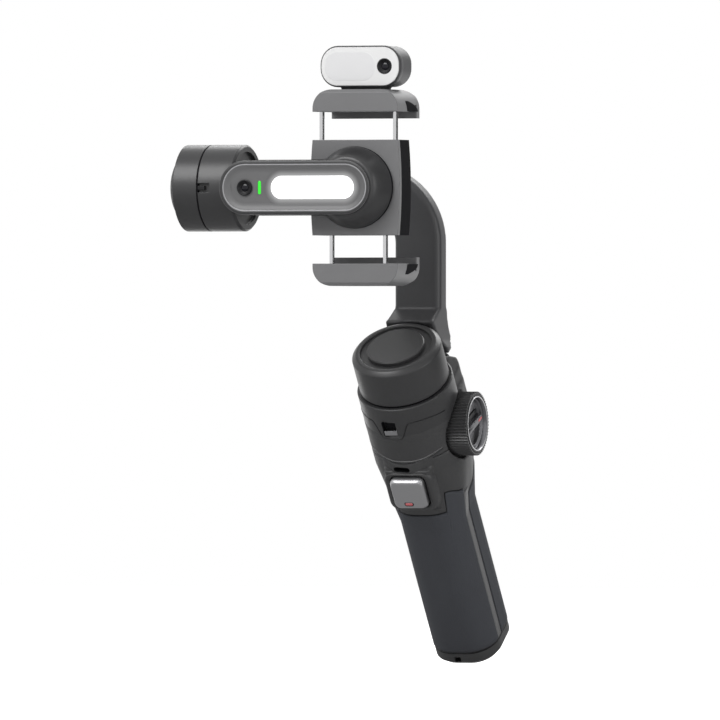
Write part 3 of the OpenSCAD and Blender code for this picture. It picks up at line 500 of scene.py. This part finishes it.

# %% [markdown]
# ## Pieces made as meshes
# Every mesh piece is made by one helper. It names the piece, gives it its finish, and lets it ride on a
# body. The piece that it makes is still a skin without depth, and a Solidify modifier gives one where it
# shows.

# %% Mesh helpers
def mesh_piece(name, corners, faces, finish, body, place=LEAN):
    """A piece from corners in metres and faces."""
    mesh = bpy.data.meshes.new(name)
    mesh.from_pydata([place @ Vector(c) for c in corners], [], faces)
    mesh.validate()
    piece = bpy.data.objects.new(name, mesh)
    scene.collection.objects.link(piece)
    give_finish(piece, finishes[finish])
    for face in mesh.polygons:
        face.use_smooth = True
    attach(piece, body)
    return piece


def thicken(piece, depth):
    thick = piece.modifiers.new("thickness", "SOLIDIFY")
    thick.thickness = depth * MM
    thick.offset = -1


def grid_faces(lines, points, flip=False):
    """The quads between neighbouring lines of points, facing the other way where flip is set."""
    starts = [line * points + i for line in range(lines - 1) for i in range(points - 1)]
    if flip:
        return [(a, a + 1, a + points + 1, a + points) for a in starts]
    return [(a, a + points, a + points + 1, a + 1) for a in starts]


def spread(first, last, steps):
    return [first + (last - first) * i / steps for i in range(steps + 1)]


def step(value, start, end):
    """A soft step from 0 at start to 1 at end."""
    share = min(max((value - start) / (end - start), 0), 1)
    return share * share * (3 - 2 * share)


print("soft step half way:", step(0.5, 0, 1))

# %% [markdown]
# ## Soft grip panels
# On the real handle a fine-grained rubber panel wraps the front half of the grip and another wraps the back,
# with a strip of bare shell left between them. The front panel climbs past the trigger's housing on both
# sides. Each panel is a grid of rays: the columns go round the handle, and the height where a column stops
# follows the panel's outline. Over the bare strips lie two thin strips in a lighter satin than the shell:
# painted light, where the handle's sides catch the lamps.

# %% Panel helper
PANEL_LOW = 8.2
PANEL_ROWS = 60
PANEL_DEPTH = 1.0


def panel(name, first, last, high, finish, columns=84, lift=0.3):
    corners = []
    for angle in spread(first, last, columns):
        corners += [on_skin(angle, height, lift)[0] for height in spread(PANEL_LOW, high(angle), PANEL_ROWS)]
    piece = mesh_piece(name, corners, grid_faces(columns + 1, PANEL_ROWS + 1), finish, "handle")
    thicken(piece, PANEL_DEPTH)


def front_top(angle):
    aside = abs(angle - FRONT)
    return 90.5 + 11.5 * step(aside, 36, 38.5) - 4.0 * step(aside, 40, 68)


def rear_top(angle):
    return 92.0 + 5.0 * math.cos(math.radians(angle - BACK))


def strip_top(angle):
    return 96.0


# %% Two panels and two side strips
panel("front_panel", -157.5, -22.5, front_top, "pad", columns=150)
panel("rear_panel", -4.6, 184.6, rear_top, "pad")
# Painted light: the bare shell between the panels, in a lighter copy of its charcoal.
panel("side_strip_right", -20.9, -6.3, strip_top, "painted_light_strip", columns=16, lift=0.05)
panel("side_strip_left", -173.7, -159.1, strip_top, "painted_light_strip", columns=16, lift=0.05)
print("panels and strips: 4")

# %% [markdown]
# ## Parting lines
# Where two mouldings meet, the real handle shows a hair-thin dark line, and beside some of them a lighter
# bevel that catches the light. A ribbon draws both: it is a narrow strip laid along a path on the skin, a
# few hundredths of a millimetre proud. The bevel's ribbon lies flat and is coloured lighter than the shell,
# as a painted highlight. The upper line dips under the lock's window, and the lower one dips in front.

# %% Ribbon helper
RIBBON_DEPTH = 0.12


def ribbon(name, path, width, finish, lift=0.04, closed=False):
    points = [on_skin(angle, height, lift) for angle, height in path]
    corners, faces = [], []
    count = len(points)
    for i, (point, normal) in enumerate(points):
        before = points[(i - 1) % count if closed else max(i - 1, 0)][0]
        after = points[(i + 1) % count if closed else min(i + 1, count - 1)][0]
        side = normal.cross(after - before).normalized() * width * MM / 2
        corners += [point - side, point + side]
    for i in range(count if closed else count - 1):
        a, b = 2 * i, 2 * ((i + 1) % count)
        faces.append((a, b, b + 1, a + 1))
    thicken(mesh_piece(name, corners, faces, finish, "handle"), RIBBON_DEPTH)


def path_along(height, first, last, turns=180):
    return [(angle, height(angle)) for angle in spread(first, last, turns)]


# %% Lines on the control head
def upper_line(angle):
    aside = abs(angle - FRONT + 7)
    return 147.2 - 8.6 * (1 - step(aside, 11, 25)) - 1.5 * step(aside, 40, 80)


def lower_line(angle):
    aside = abs(angle - FRONT)
    return 127.5 - 3.2 * (1 - step(aside, 10, 60))


def highlight_line(angle):
    return lower_line(angle) + 0.75


ribbon("upper_seam", path_along(upper_line, -178, -24), 0.34, "black", lift=0.15)
ribbon("lower_seam", path_along(lower_line, -178, -40), 0.32, "black")
# Painted highlight: a lighter flat strip where the bevel would catch the light.
ribbon("lower_bevel_highlight", path_along(highlight_line, -165, -40), 1.1, "painted_highlight_line", lift=0.03)
band_rows = [(136.4, -0.06), (136.9, 0.06), (137.6, 0.1), (139.4, 0.1), (140.1, 0.06), (140.6, -0.06)]
band_angles = spread(-181, -25, 104)
band_points = [on_skin(angle, height, lift)[0] for height, lift in band_rows for angle in band_angles]
band_faces = grid_faces(len(band_rows), len(band_angles), flip=True)
mesh_piece("collar_band", band_points, band_faces, "shell", "handle")
print("lines on the head: 3, and a band")

# %% Lines round the panels
EDGE_GAP = 0.3
EDGE_WIDTH = 0.7
SIDE_STEPS = 30


def outline_of(first, last, high, steps):
    """The path round a panel: up its first side, along its top, down its last side and back."""
    low = PANEL_LOW - EDGE_GAP
    there = [(angle, height + EDGE_GAP) for angle, height in path_along(high, first, last, steps)]
    up = [(first, height) for height in spread(low, there[0][1], SIDE_STEPS)[:-1]]
    down = [(last, height) for height in spread(there[-1][1], low, SIDE_STEPS)[1:]]
    return up + there + down + [(angle, low) for angle in spread(last, first, steps)[1:-1]]


for name, path in (("front_panel_edge", outline_of(-158.1, -21.9, front_top, 150)),
                   ("rear_panel_edge", outline_of(-5.3, 185.3, rear_top, 90))):
    ribbon(name, path, EDGE_WIDTH, "black", lift=0.06, closed=True)
    print(name, "has", len(path), "points")

# %% [markdown]
# ## Softening the moulded shells
# The handle's shells, the tracker's body and the rear arm are moulded or cast, which leaves no sharp edge:
# every ridge and every inner corner is blended. The Remesh modifier wraps a solid in an even skin of small
# faces, and the Smooth modifier then relaxes that skin, which rounds edges and corners alike and leaves flat
# walls where they are.

# %% Round off four solids
WELD_GAP = 0.002


def round_off(name, voxel, passes):
    solid = nodes[name]
    weld = solid.modifiers.new("weld", "WELD")
    weld.merge_threshold = WELD_GAP * MM
    remesh = solid.modifiers.new("remesh", "REMESH")
    remesh.mode = "VOXEL"
    remesh.voxel_size = voxel * MM
    remesh.use_smooth_shade = True
    relax = solid.modifiers.new("relax", "SMOOTH")
    relax.factor = 0.5
    relax.iterations = passes


for name, voxel, passes in (("head_shell", 0.45, 22), ("grip_shell", 0.5, 16), ("tracker_body", 0.4, 10),
                            ("rear_arm", 0.6, 14)):
    round_off(name, voxel, passes)
    print("rounded:", name)

# %% [markdown]
# ## Turned and lofted pieces
# Most small trim is either turned, such as lenses and bells, or a closed outline that changes as it goes
# deeper, such as the dish of the light. Both are rows of points joined by quads. A turned piece is a loft
# whose rows are circles, so one helper makes both. All sizes are in millimetres, in a local space that each
# piece names, where the third number points out of the surface.

# %% Loft helpers
def loft(name, loops, finish, body, place, sharp=32):
    corners, rings = [], []
    for loop in loops:
        rings.append(range(len(corners), len(corners) + len(loop)))
        corners += [Vector(point) * MM for point in loop]
    faces = []
    for low_ring, high_ring in zip(rings, rings[1:]):
        a_count, b_count = len(low_ring), len(high_ring)
        for i in range(max(a_count, b_count)):
            face = (low_ring[i % a_count], low_ring[(i + 1) % a_count],
                    high_ring[(i + 1) % b_count], high_ring[i % b_count])
            faces.append(tuple(dict.fromkeys(face)))
    piece = mesh_piece(name, corners, faces, finish, body, place)
    piece.data.set_sharp_from_angle(angle=math.radians(sharp))
    return piece


def circle_loop(radius, out, centre, turns):
    if radius == 0:
        return [(*centre, out)]
    angles = spread(0, 2 * math.pi, turns)[:-1]
    return [(centre[0] + radius * math.cos(a), centre[1] + radius * math.sin(a), out) for a in angles]


def turned(name, profile, finish, body, place, centre=(0, 0), turns=72):
    loops = [circle_loop(radius, out, centre, turns) for radius, out in profile]
    return loft(name, loops, finish, body, place)


def rect_loop(width, height, radius, out, centre=(0, 0), share=8):
    points = []
    for quarter, (sx, sy) in enumerate(((1, 1), (-1, 1), (-1, -1), (1, -1))):
        for i in range(share + 1):
            angle = (quarter + i / share) * math.pi / 2
            points.append((centre[0] + sx * (width / 2 - radius) + radius * math.cos(angle),
                           centre[1] + sy * (height / 2 - radius) + radius * math.sin(angle), out))
    return points


def pill_loop(radius, left, right, out):
    width = right - left + 2 * radius
    return rect_loop(width, 2 * radius, radius * 0.9999, out, ((left + right) / 2, 0), share=18)


def rects(rows, centre, tip=None):
    """Rounded rectangles from rows of width, height, radius and out, closed by a point at tip."""
    return [rect_loop(*row, centre) for row in rows] + ([[(*centre, tip)]] if tip is not None else [])


def pills(rows, left, right):
    """Pill outlines from rows of radius and out, round the line from left to right."""
    return [pill_loop(radius, left, right, out) for radius, out in rows]


OUTWARD = Matrix.Rotation(math.pi / 2, 4, "X")
FACE = Matrix.Translation((0, HEAD.y, HEAD.z)) @ OUTWARD
GRIP_FACE = LEAN @ OUTWARD
SIDEWAYS = Matrix(((0, 0, 1, 0), (1, 0, 0, 0), (0, 1, 0, 0), (0, 0, 0, 1)))
print("head face origin (mm):", [round(v / MM, 1) for v in FACE.translation])

# %% [markdown]
# ## The dished face of the light arm
# Inside its bright hairline the light arm is dished: the surface sinks in a soft slope to the flat where the
# light sits. A loft of pill outlines follows that slope, and another rounds the arm's outer edge. That edge is
# given the dark motor paint instead of the arm's grey: painted shade, where the rounding turns away from the
# light. The flat itself belongs to the working model.

# %% The dish and the arm's edge
PILL_LEFT = -50.75
PILL_FACE = 21.6
DISH_FLOOR = 20.7
dish_slope = [(10.64, 21.42), (10.35, 21.38), (9.9, 21.24), (9.3, 21.02), (8.7, 20.86), (8.1, 20.77),
              (7.4, 20.73)]
loft("light_dish", pills(dish_slope, PILL_LEFT, 0), "dish_grey", "tilt_arm", FACE)
# The arm's outer edge in dark motor paint over the grey arm: painted shade.
rim_slope = [(11.27, 21.45), (11.35, 21.62), (12.55, 21.62), (12.78, 21.5), (12.86, 21.2), (12.88, 20.3),
             (12.88, 16.2)]
loft("light_arm_rim_painted_shade", pills(rim_slope, PILL_LEFT, 0), "motor", "tilt_arm", FACE)
print("dish depth (mm):", round(PILL_FACE - DISH_FLOOR, 2))

# %% The green window
LED_X = -43.3
LED_END = 2.45
led_place = FACE @ Matrix.Translation((LED_X * MM, 0, 0)) @ Matrix.Rotation(math.pi / 2, 4, "Z")
led_rows = [(0.74, DISH_FLOOR - 0.4), (0.74, DISH_FLOOR + 0.08), (0.62, DISH_FLOOR + 0.16),
            (0.3, DISH_FLOOR + 0.18)]
led_window = loft("led_window", pills(led_rows, -LED_END, LED_END) + [[(0, 0, DISH_FLOOR + 0.18)]],
                  "led", "tilt_arm", led_place)
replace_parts(led_window, "status_led")
frame_rows = [(0.78, DISH_FLOOR + 0.06), (0.78, DISH_FLOOR - 0.4)]
loft("led_frame", [rect_loop(7.2, 2.4, 0.9, DISH_FLOOR + 0.005, share=18),
                   rect_loop(7.0, 2.2, 0.9, DISH_FLOOR + 0.06, share=18)]
     + pills(frame_rows, -LED_END, LED_END), "dish_grey", "tilt_arm", led_place)
print("green window (mm):", round(2 * (LED_END + led_rows[0][0]), 2), "long")

# %% [markdown]
# ## The soft halo of the light
# Light scatters inside the diffuser and spills on the dish round it, so the dish is brightest at the light's
# edge and fades outwards. The finish of this ring measures its own distance from the light's middle line,
# in object space, and turns that distance into a faint glow.

# %% Halo
LIGHT_LEFT, LIGHT_RIGHT, LIGHT_RADIUS = -31.85, -0.75, 5.45
HALO_REACH = 8.6
HALO_GLOW = 0.26


def halo_finish():
    material = grained("lit dish halo", DISH_GREY, 0.45, size=3.6, depth=0.22, edge=0.7,
                       Emission_Strength=1.0)
    tree = material.node_tree
    link = tree.links.new
    place = add_node(tree, "ShaderNodeTexCoord")
    middle_line = Vector(((LIGHT_LEFT + LIGHT_RIGHT) / 2 * MM, 0, HEAD.z))
    shifted = add_node(tree, "ShaderNodeVectorMath", operation="SUBTRACT")
    shifted.inputs[1].default_value = middle_line
    link(place.outputs["Object"], shifted.inputs[0])
    folded = add_node(tree, "ShaderNodeVectorMath", operation="ABSOLUTE")
    link(shifted.outputs[0], folded.inputs[0])
    past_end = add_node(tree, "ShaderNodeVectorMath", operation="SUBTRACT")
    past_end.inputs[1].default_value = ((LIGHT_RIGHT - LIGHT_LEFT) / 2 * MM, 0, 0)
    link(folded.outputs[0], past_end.inputs[0])
    kept = add_node(tree, "ShaderNodeVectorMath", operation="MAXIMUM")
    kept.inputs[1].default_value = (0, 0, 0)
    link(past_end.outputs[0], kept.inputs[0])
    flat = add_node(tree, "ShaderNodeVectorMath", operation="MULTIPLY")
    flat.inputs[1].default_value = (1, 0, 1)
    link(kept.outputs[0], flat.inputs[0])
    distance = add_node(tree, "ShaderNodeVectorMath", operation="LENGTH")
    link(flat.outputs[0], distance.inputs[0])
    fade = add_node(tree, "ShaderNodeMapRange", interpolation_type="SMOOTHSTEP")
    fade.inputs["From Min"].default_value = HALO_REACH * MM
    fade.inputs["From Max"].default_value = (LIGHT_RADIUS - 0.6) * MM
    fade.inputs["To Max"].default_value = HALO_GLOW
    link(distance.outputs["Value"], fade.inputs["Value"])
    link(fade.outputs[0], tree.nodes["Principled BSDF"].inputs["Emission Color"])
    return material


finishes["halo"] = halo_finish()
halo_rows = [(LIGHT_RADIUS + 0.02, 20.712), (6.5, 20.73), (7.4, 20.76), (8.1, 20.80), (HALO_REACH, 20.88)]
loft("light_halo", pills(halo_rows, LIGHT_LEFT, LIGHT_RIGHT), "halo", "tilt_arm", FACE)
print("halo reaches", round(HALO_REACH - LIGHT_RADIUS, 2), "mm past the light")

# %% [markdown]
# ## Lenses
# A small camera lens is a black stepped barrel that narrows towards a domed front glass. Seen from outside it
# is mostly dark rings, and the studio's lamps show as small sparks in the glass. The barrel replaces the
# plain plug of the working model, and the glass is a separate dome that stays behind the barrel's rim.

# %% Two lenses
barrel_rows = [(3.78, -0.9), (3.78, 0.04), (3.68, 0.1), (3.3, 0.1), (3.1, -0.08), (2.95, -0.4), (2.7, -0.45),
               (2.62, -0.7), (2.35, -0.75), (2.25, -0.95), (1.95, -1.0), (1.9, -1.15), (0, -1.15)]
glass_rows = [(1.88, -1.1), (1.8, -0.98), (1.5, -0.84), (1.0, -0.72), (0.5, -0.66), (0, -0.64)]
TRACK_FRONT = 0.8
TRACK_Z = 57.45
TRACK_LENS_X = 12.4
TRACK_WINDOW_X = -5.1


def lens(name, centre, out, body):
    barrel = turned(name + "_barrel", [(r, out + d) for r, d in barrel_rows], "black", body, FACE, centre)
    turned(name + "_glass", [(r, out + d) for r, d in glass_rows], "lens", body, FACE, centre)
    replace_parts(barrel, name)


lens("arm_lens", (PILL_LEFT, 0), PILL_FACE, "tilt_arm")
lens("tracker_lens", (TRACK_LENS_X, TRACK_Z), TRACK_FRONT, "tracker")
print("lenses: 2, each of", len(barrel_rows) + len(glass_rows), "turned rows")

# %% The tracker's window and rim
window_rows = [(width, height, height * 0.47, TRACK_FRONT + proud)
               for width, height, proud in ((25.6, 13.9, -0.02), (25.4, 13.7, 0.05), (24.9, 13.2, 0.05))]
loft("tracker_window", rects(window_rows, (TRACK_WINDOW_X, TRACK_Z), tip=TRACK_FRONT + 0.05),
     "window", "tracker", FACE)
bezel_rows = [(40.3, 19.3, 8.65, -4.0), (40.8, 19.7, 8.85, -3.2), (40.8, 19.7, 8.85, -0.2),
              (40.6, 19.5, 8.75, 0.15), (40.1, 19.1, 8.55, 0.4), (39.5, 18.5, 8.25, 0.5),
              (39.2, 18.2, 8.1, 0.45)]
loft("tracker_bezel", rects(bezel_rows, (0, TRACK_Z)), "arm", "tracker", FACE, sharp=60)
print("tracker's rim (mm):", bezel_rows[1][:2])

# %% [markdown]
# ## Openings in the jaws
# Each jaw has a triangular opening in both of its sides, behind the front plate. The opening is not cut: a
# matte black sheet paints the shade inside it. The side is flat at the bottom and rolls over at the top, so
# the sheet is a small grid laid on that rolled side.

# %% Jaw openings
JAW_SIDE = 21.65
JAW_ROUND = 9.0
ROUND_START = 37.55
OPENING_LOW = 36.1
OPENING_HEIGHT = 5.0
OPENING_DEPTH = 0.3
PROUD = 0.06


def jaw_side(z):
    rise = max(z - ROUND_START, 0)
    return JAW_SIDE - JAW_ROUND + math.sqrt(JAW_ROUND ** 2 - rise ** 2)


def jaw_opening_shade(name, side, up, body):
    corners = []
    for row in range(13):
        share = row / 12
        z = OPENING_LOW + OPENING_HEIGHT * share
        front = 5.4 - 1.6 * share + 0.7 * step(share, 0.85, 1)
        back = 19.3 - 1.2 * share - 10.5 * share ** 2.2
        corners += [(side * (jaw_side(z) + PROUD) * MM, y * MM, up * z * MM) for y in spread(front, back, 8)]
    faces = grid_faces(13, 9, flip=True)
    if side * up < 0:
        faces = [face[::-1] for face in faces]
    # A matte black sheet in place of the opening: painted shade.
    piece = mesh_piece(name, corners, faces, "matte_black", body, Matrix.Translation(FACE.translation))
    thicken(piece, OPENING_DEPTH)


for body, up in (("upper", 1), ("lower", -1)):
    for hand, side in (("right", 1), ("left", -1)):
        jaw_opening_shade(f"{body}_jaw_opening_shade_{hand}", side, up, body)
print("jaw openings: 4")

# %% [markdown]
# ## The roll motor's cover
# The light arm carries a dome on its back that is widest where it meets the clamp and narrows towards the
# light. Straight walls join it to the arm's neck, and each corner between them is a quarter of a hollow
# curve. The hollow shrinks with the dome, so both stay joined at every depth. A matte black ring behind the
# dome paints the shadow in the gap between the dome and the clamp.

# %% Dome and its painted gap shadow
dome_rows = [(12.0, 8.3), (18.9, 8.3), (19.3, 8.6), (19.36, 9.3), (19.05, 10.3), (18.1, 12.7), (16.8, 15.9),
             (15.5, 18.7), (14.6, 20.0), (14.0, 20.4), (13.2, 20.5), (11.0, 20.5)]
roll_dome = turned("roll_dome", dome_rows, "motor", "tilt_arm", FACE, turns=120)
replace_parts(roll_dome, "roll_cover")
# Painted shadow: a matte black ring in the gap behind the dome.
gap_shadow_rows = [(15.0, 7.3), (19.2, 7.3), (19.45, 7.5), (19.45, 8.75), (19.3, 8.95), (18.0, 8.95)]
turned("roll_gap_shadow", gap_shadow_rows, "matte_black", "tilt_arm", FACE, turns=120)
print("dome narrows (mm):", dome_rows[3][0], "to", dome_rows[-2][0])

# %% Fairings and neck
HOLLOW = 8.0
NECK_HALF = 13.2
NECK_X = -25.0
INSIDE = (-9.0, 11.5)


def hollow_corner(side, disc):
    """The outline between the straight neck and a round cover of radius disc, a quarter of a hollow curve."""
    centre_z = NECK_HALF + HOLLOW
    centre_x = -math.sqrt((disc + HOLLOW) ** 2 - centre_z ** 2)
    curve = [(centre_x + HOLLOW * math.cos(angle), side * (centre_z + HOLLOW * math.sin(angle)))
             for angle in spread(-math.pi / 2, math.atan2(-centre_z, -centre_x), 12)]
    return curve + [(INSIDE[0], side * INSIDE[1]), (centre_x, side * INSIDE[1])]


fairing_rows = [(18.8, 8.5), (19.2, 8.9), (19.2, 9.4), (18.95, 10.3), (18.0, 12.7), (16.8, 15.7)]
for label, side in (("roll_fairing_upper", 1), ("roll_fairing_lower", -1)):
    rows = [[(x, z, out) for x, z in hollow_corner(side, disc)] for disc, out in fairing_rows]
    loft(label, rows + [[(-12.5, side * 12.3, 15.7)]], "motor", "tilt_arm", FACE, sharp=60)
neck_rows = [(50.0, 25.8, 1.0, 8.6), (50.0, 26.4, 1.2, 8.9), (50.0, 26.4, 1.2, 15.65)]
loft("roll_neck", [[(NECK_X, 0, 8.6)]] + rects(neck_rows, (NECK_X, 0)), "motor", "tilt_arm", FACE)
print("fairings: 2, with a neck", neck_rows[-1][1], "mm high")

# %% [markdown]
# ## The trigger
# The trigger is a cushion of satin metal with rounded corners, not a block. Its face is a loft of rounded
# squares that shrink as they come forward. A small red mark sits in a black frame near its lower edge, and a
# soft moulded rim runs round it on the housing, with a black gap between.

# %% Trigger and mark
TRIGGER_S = 109.0
TRIGGER_FACE = 29.0
HOUSING_FACE = 24.5
MARK = (-0.4, 104.3)
trigger_rows = [(17, 16.5, 2.6, 20.5), (17, 16.5, 2.6, 26.2), (16.9, 16.4, 2.6, 26.7),
                (16.5, 16.0, 2.7, 27.4), (15.9, 15.4, 2.8, 28.0), (15.1, 14.6, 2.9, 28.4),
                (14.0, 13.5, 3.0, 28.65), (12, 11.5, 3.2, 28.82), (8, 7.5, 3.0, 28.95),
                (4, 3.6, 1.7, TRIGGER_FACE)]
trigger_cap = loft("trigger_cap", rects(trigger_rows, (0, TRIGGER_S), tip=TRIGGER_FACE),
                   "trigger", "trigger", GRIP_FACE, sharp=60)
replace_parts(trigger_cap, "trigger")
edge_rows = [(4.8, 2.5, 1.2, 28.2), (4.8, 2.5, 1.2, 28.93), (4.4, 2.1, 1.02, TRIGGER_FACE),
             (4.2, 1.9, 0.92, 28.92)]
loft("trigger_mark_frame", rects(edge_rows, MARK, tip=28.92), "black", "trigger", GRIP_FACE)
mark_rows = [(3.8, 1.5, 0.72, 28.8), (3.7, 1.4, 0.67, 28.98)]
loft("trigger_mark", rects(mark_rows, MARK, tip=TRIGGER_FACE), "button_red", "trigger", GRIP_FACE)
print("trigger stands", round(TRIGGER_FACE - HOUSING_FACE, 2), "mm out of its housing")

# %% The housing's rim
rim_rows = [(17.5, 117.7, 99.8, 2.8, 22.0), (17.5, 117.7, 99.8, 2.8, 24.3), (17.8, 117.85, 99.65, 2.9, 24.72),
            (18.6, 118.1, 99.4, 3.2, 25.0), (19.8, 118.4, 99.05, 3.5, 25.05), (21.2, 118.7, 98.7, 3.8, 24.95),
            (22.6, 119.0, 98.1, 4.2, 24.7), (23.8, 119.2, 97.6, 4.6, 24.2), (24.6, 119.35, 97.3, 4.8, 23.5),
            (25.2, 119.45, 97.1, 5.0, 22.4), (25.6, 119.5, 97.0, 5.1, 20.5)]
rim_loops = [rect_loop(width, top - bottom, radius, out, (0, (top + bottom) / 2))
             for width, top, bottom, radius, out in rim_rows]
loft("trigger_rim", rim_loops, "shell", "handle", GRIP_FACE, sharp=60)
print("rim rows:", len(rim_rows))

# %% [markdown]
# ## The face of the focus wheel
# Inside its bright ring the wheel is a shallow metal dish, crossed by a grip bar for the thumb. A black strip
# along one side of the bar paints the bar's shadow on the dish, and a red mark at the bar's upper end shows
# how far it has turned.

# %% Wheel dish and rings
WHEEL_CENTRE = (18.5 * MM, 4 * MM, 128 * MM)
WHEEL = LEAN @ Matrix.Translation(WHEEL_CENTRE) @ SIDEWAYS
bowl_rows = [(11.88, 9.5), (11.5, 9.3), (11.2, 8.7), (10.8, 8.1), (10.0, 7.8), (8, 7.65), (4, 7.55), (0, 7.5)]
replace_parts(turned("wheel_bowl", bowl_rows, "dish", "wheel", WHEEL), "wheel_dish")
ring_rows = [(14.15, 9.5), (14.15, 10.75), (13.95, 11.05), (13.35, 11.25), (13.1, 11.2)]
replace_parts(turned("wheel_bezel", ring_rows, "black", "wheel", WHEEL), "wheel_ring")
hair_rows = [(13.12, 11.15), (13.05, 11.3), (12.6, 11.3), (12.5, 11.15)]
turned("wheel_hairline", hair_rows, "steel", "wheel", WHEEL)
turned("wheel_slope", [(12.52, 11.2), (12.3, 10.9), (12.0, 9.9), (11.86, 9.35)], "dish", "wheel", WHEEL)
print("wheel dish is", round(hair_rows[1][1] - bowl_rows[-1][1], 2), "mm deep")

# %% Bar, its painted shadow and mark
BAR_TURN = math.radians(-12)
BAR = WHEEL @ Matrix.Rotation(BAR_TURN, 4, "Z")
bar_rows = [(21.4, 3.6, 1.7, 7.4), (21.0, 3.2, 1.5, 9.3), (20.6, 2.8, 1.3, 9.9), (19.8, 2.2, 1.0, 10.1)]
bar_shadow_rows = [(17.6, 3.6, 0.6, 8.0), (17.2, 3.2, 0.5, 8.15)]
red_rows = [(4.6, 1.2, 0.5, 10.0), (4.6, 1.2, 0.5, 10.16)]
loft("wheel_bar", rects(bar_rows, (0, -0.6), tip=10.1), "dish", "wheel", BAR)
# Painted shadow: a black strip beside the bar.
loft("wheel_bar_shadow", rects(bar_shadow_rows, (-0.6, 2.6), tip=8.15), "black", "wheel", BAR)
loft("wheel_mark", rects(red_rows, (6.6, -0.6), tip=10.18), "button_red", "wheel", BAR)
print("wheel bar turned", round(math.degrees(BAR_TURN)), "degrees")

# %% [markdown]
# ## The charging socket
# The socket is a slot with round ends in the curved front of the handle. Above and round it the skin swells
# into a brow. Both are lofts of rounded outlines that are bent round the handle, so that they lie on its
# skin, and the inside is deep. Its walls are matte black in place of the port's metal shell: painted shade
# inside the port.

# %% Brow
USB = (-2.0, 120.9)
BROW_S = 122.2
BROW_TOP = 125.8
BROW_HALF = 13.2
BROW_RISE = 1.35
SKIN_RADIUS = 23.3


def brow_out(x, s):
    round_skin = math.sqrt(SKIN_RADIUS ** 2 - x * x)
    return round_skin + BROW_RISE * step(BROW_TOP - s, 0, 6.2) * step(BROW_HALF - abs(x), 0, 6.5)


def on_brow(loops):
    return [[(x, s, brow_out(x, s) + out) for x, s, out in loop] for loop in loops]


brow_loops = []
for i in range(13):
    share = i / 12
    middle_of_loop = (USB[0] * share, BROW_S + (USB[1] - BROW_S) * share)
    brow_loops.append(rect_loop(26.6 - 18.1 * share, 8.2 - 5.4 * share, 1.6 - 0.25 * share,
                                -0.12 + 0.2 * step(share, 0, 0.25), middle_of_loop))
brow_loops += rects([(8.4, 2.7, 1.3, 0.02), (8.3, 2.6, 1.25, -0.4), (8.3, 2.6, 1.25, -3.5)], USB)
loft("socket_brow", on_brow(brow_loops), "shell", "handle", GRIP_FACE)
print("brow loops:", len(brow_loops))

# %% Socket and tongue
SOCKET_FLOOR = 19.4
socket_loops = on_brow(rects([(8.28, 2.58, 1.24, -0.4), (8.2, 2.5, 1.2, -3.4)], USB))
# Matte black walls: painted shade inside the port.
socket = loft("socket", socket_loops + [[(*USB, SOCKET_FLOOR)]], "matte_black", "handle", GRIP_FACE)
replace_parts(socket, "usb_port")
tongue_loops = rects([(6.4, 0.8, 0.3, 19.0), (6.4, 0.8, 0.3, 21.6)], USB, tip=21.7)
loft("socket_tongue", tongue_loops, "black", "handle", GRIP_FACE)
print("socket is", round(brow_out(*USB) - SOCKET_FLOOR, 2), "mm deep")

# %% The lock's window, lined in black
WINDOW = (-3.0, 144.2)
lining_rows = [(7.1, 8.1, 0.5, 23.1), (6.9, 7.9, 0.5, 22.6), (6.9, 7.9, 0.5, 20.75)]
loft("window_lining", rects(lining_rows, WINDOW, tip=20.75), "matte_black", "handle", GRIP_FACE)
print("window (mm):", lining_rows[1][:2])

# %% [markdown]
# ## The bell of the pan motor
# The motor under the arm is a turned bell. Its upper edge is cut back in a wide bevel that catches the light,
# and a groove parts the bevel from the disc on top. Turning it as one profile gives a true bevel.

# %% Pan motor bell
bell_rows = [(19.4, 156.5), (21.5, 156.5), (21.8, 156.8), (21.8, 173.3), (21.7, 173.7), (21.4, 174.1),
             (19.9, 175.5), (19.5, 175.75), (19.0, 175.8), (18.2, 175.8)]
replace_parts(turned("pan_bell", bell_rows, "motor", "pan_arm", LEAN, turns=144), "pan_rotor")
groove_rows = [(18.3, 175.8), (17.6, 175.75), (17.4, 175.5), (17.3, 174.65), (13.0, 174.62)]
turned("pan_bell_floor", groove_rows, "motor", "pan_arm", LEAN, turns=144)
print("bell rows:", len(bell_rows))

# %% [markdown]
# ## Black rings in the motors' gaps
# A real motor can't be seen through. A thin matte black ring on its fixed half fills the gap up to the turning
# half, and leaves it a hair of room; its black paints the shade deep inside the gap. Where the tilt motor's
# halves end is read from the solids.

# %% Rings of painted shade in the motors' gaps
HAIR = 0.06
SEAT = 0.3
BELL_BASE = 156.5
COLLAR_TOP = 155.5


def gap_shade_ring(name, inner, outer, first, last, body, place):
    rows = [(inner, first), (outer, first), (outer, last), (inner, last), (inner, first)]
    # Matte black: the shade inside the motor's gap, painted.
    turned(name, rows, "matte_black", body, place, turns=144)


def side_span(name):
    places = [corner.co.x for corner in nodes[name].data.vertices]
    return min(places) / MM, max(places) / MM


TILT = Matrix.Translation((0, HEAD.y, HEAD.z)) @ SIDEWAYS
fixed_end = side_span("tilt_housing")[1]
turning_start = side_span("tilt_rotor")[0]
gap_shade_ring("pan_dust_ring", 18.9, 21.2, COLLAR_TOP - SEAT, BELL_BASE - HAIR, "handle", LEAN)
gap_shade_ring("tilt_dust_ring", 18.4, 20.2, fixed_end - SEAT, turning_start - HAIR, "pan_arm", TILT)
print("tilt motor's gap (mm):", round(turning_start - fixed_end, 2))
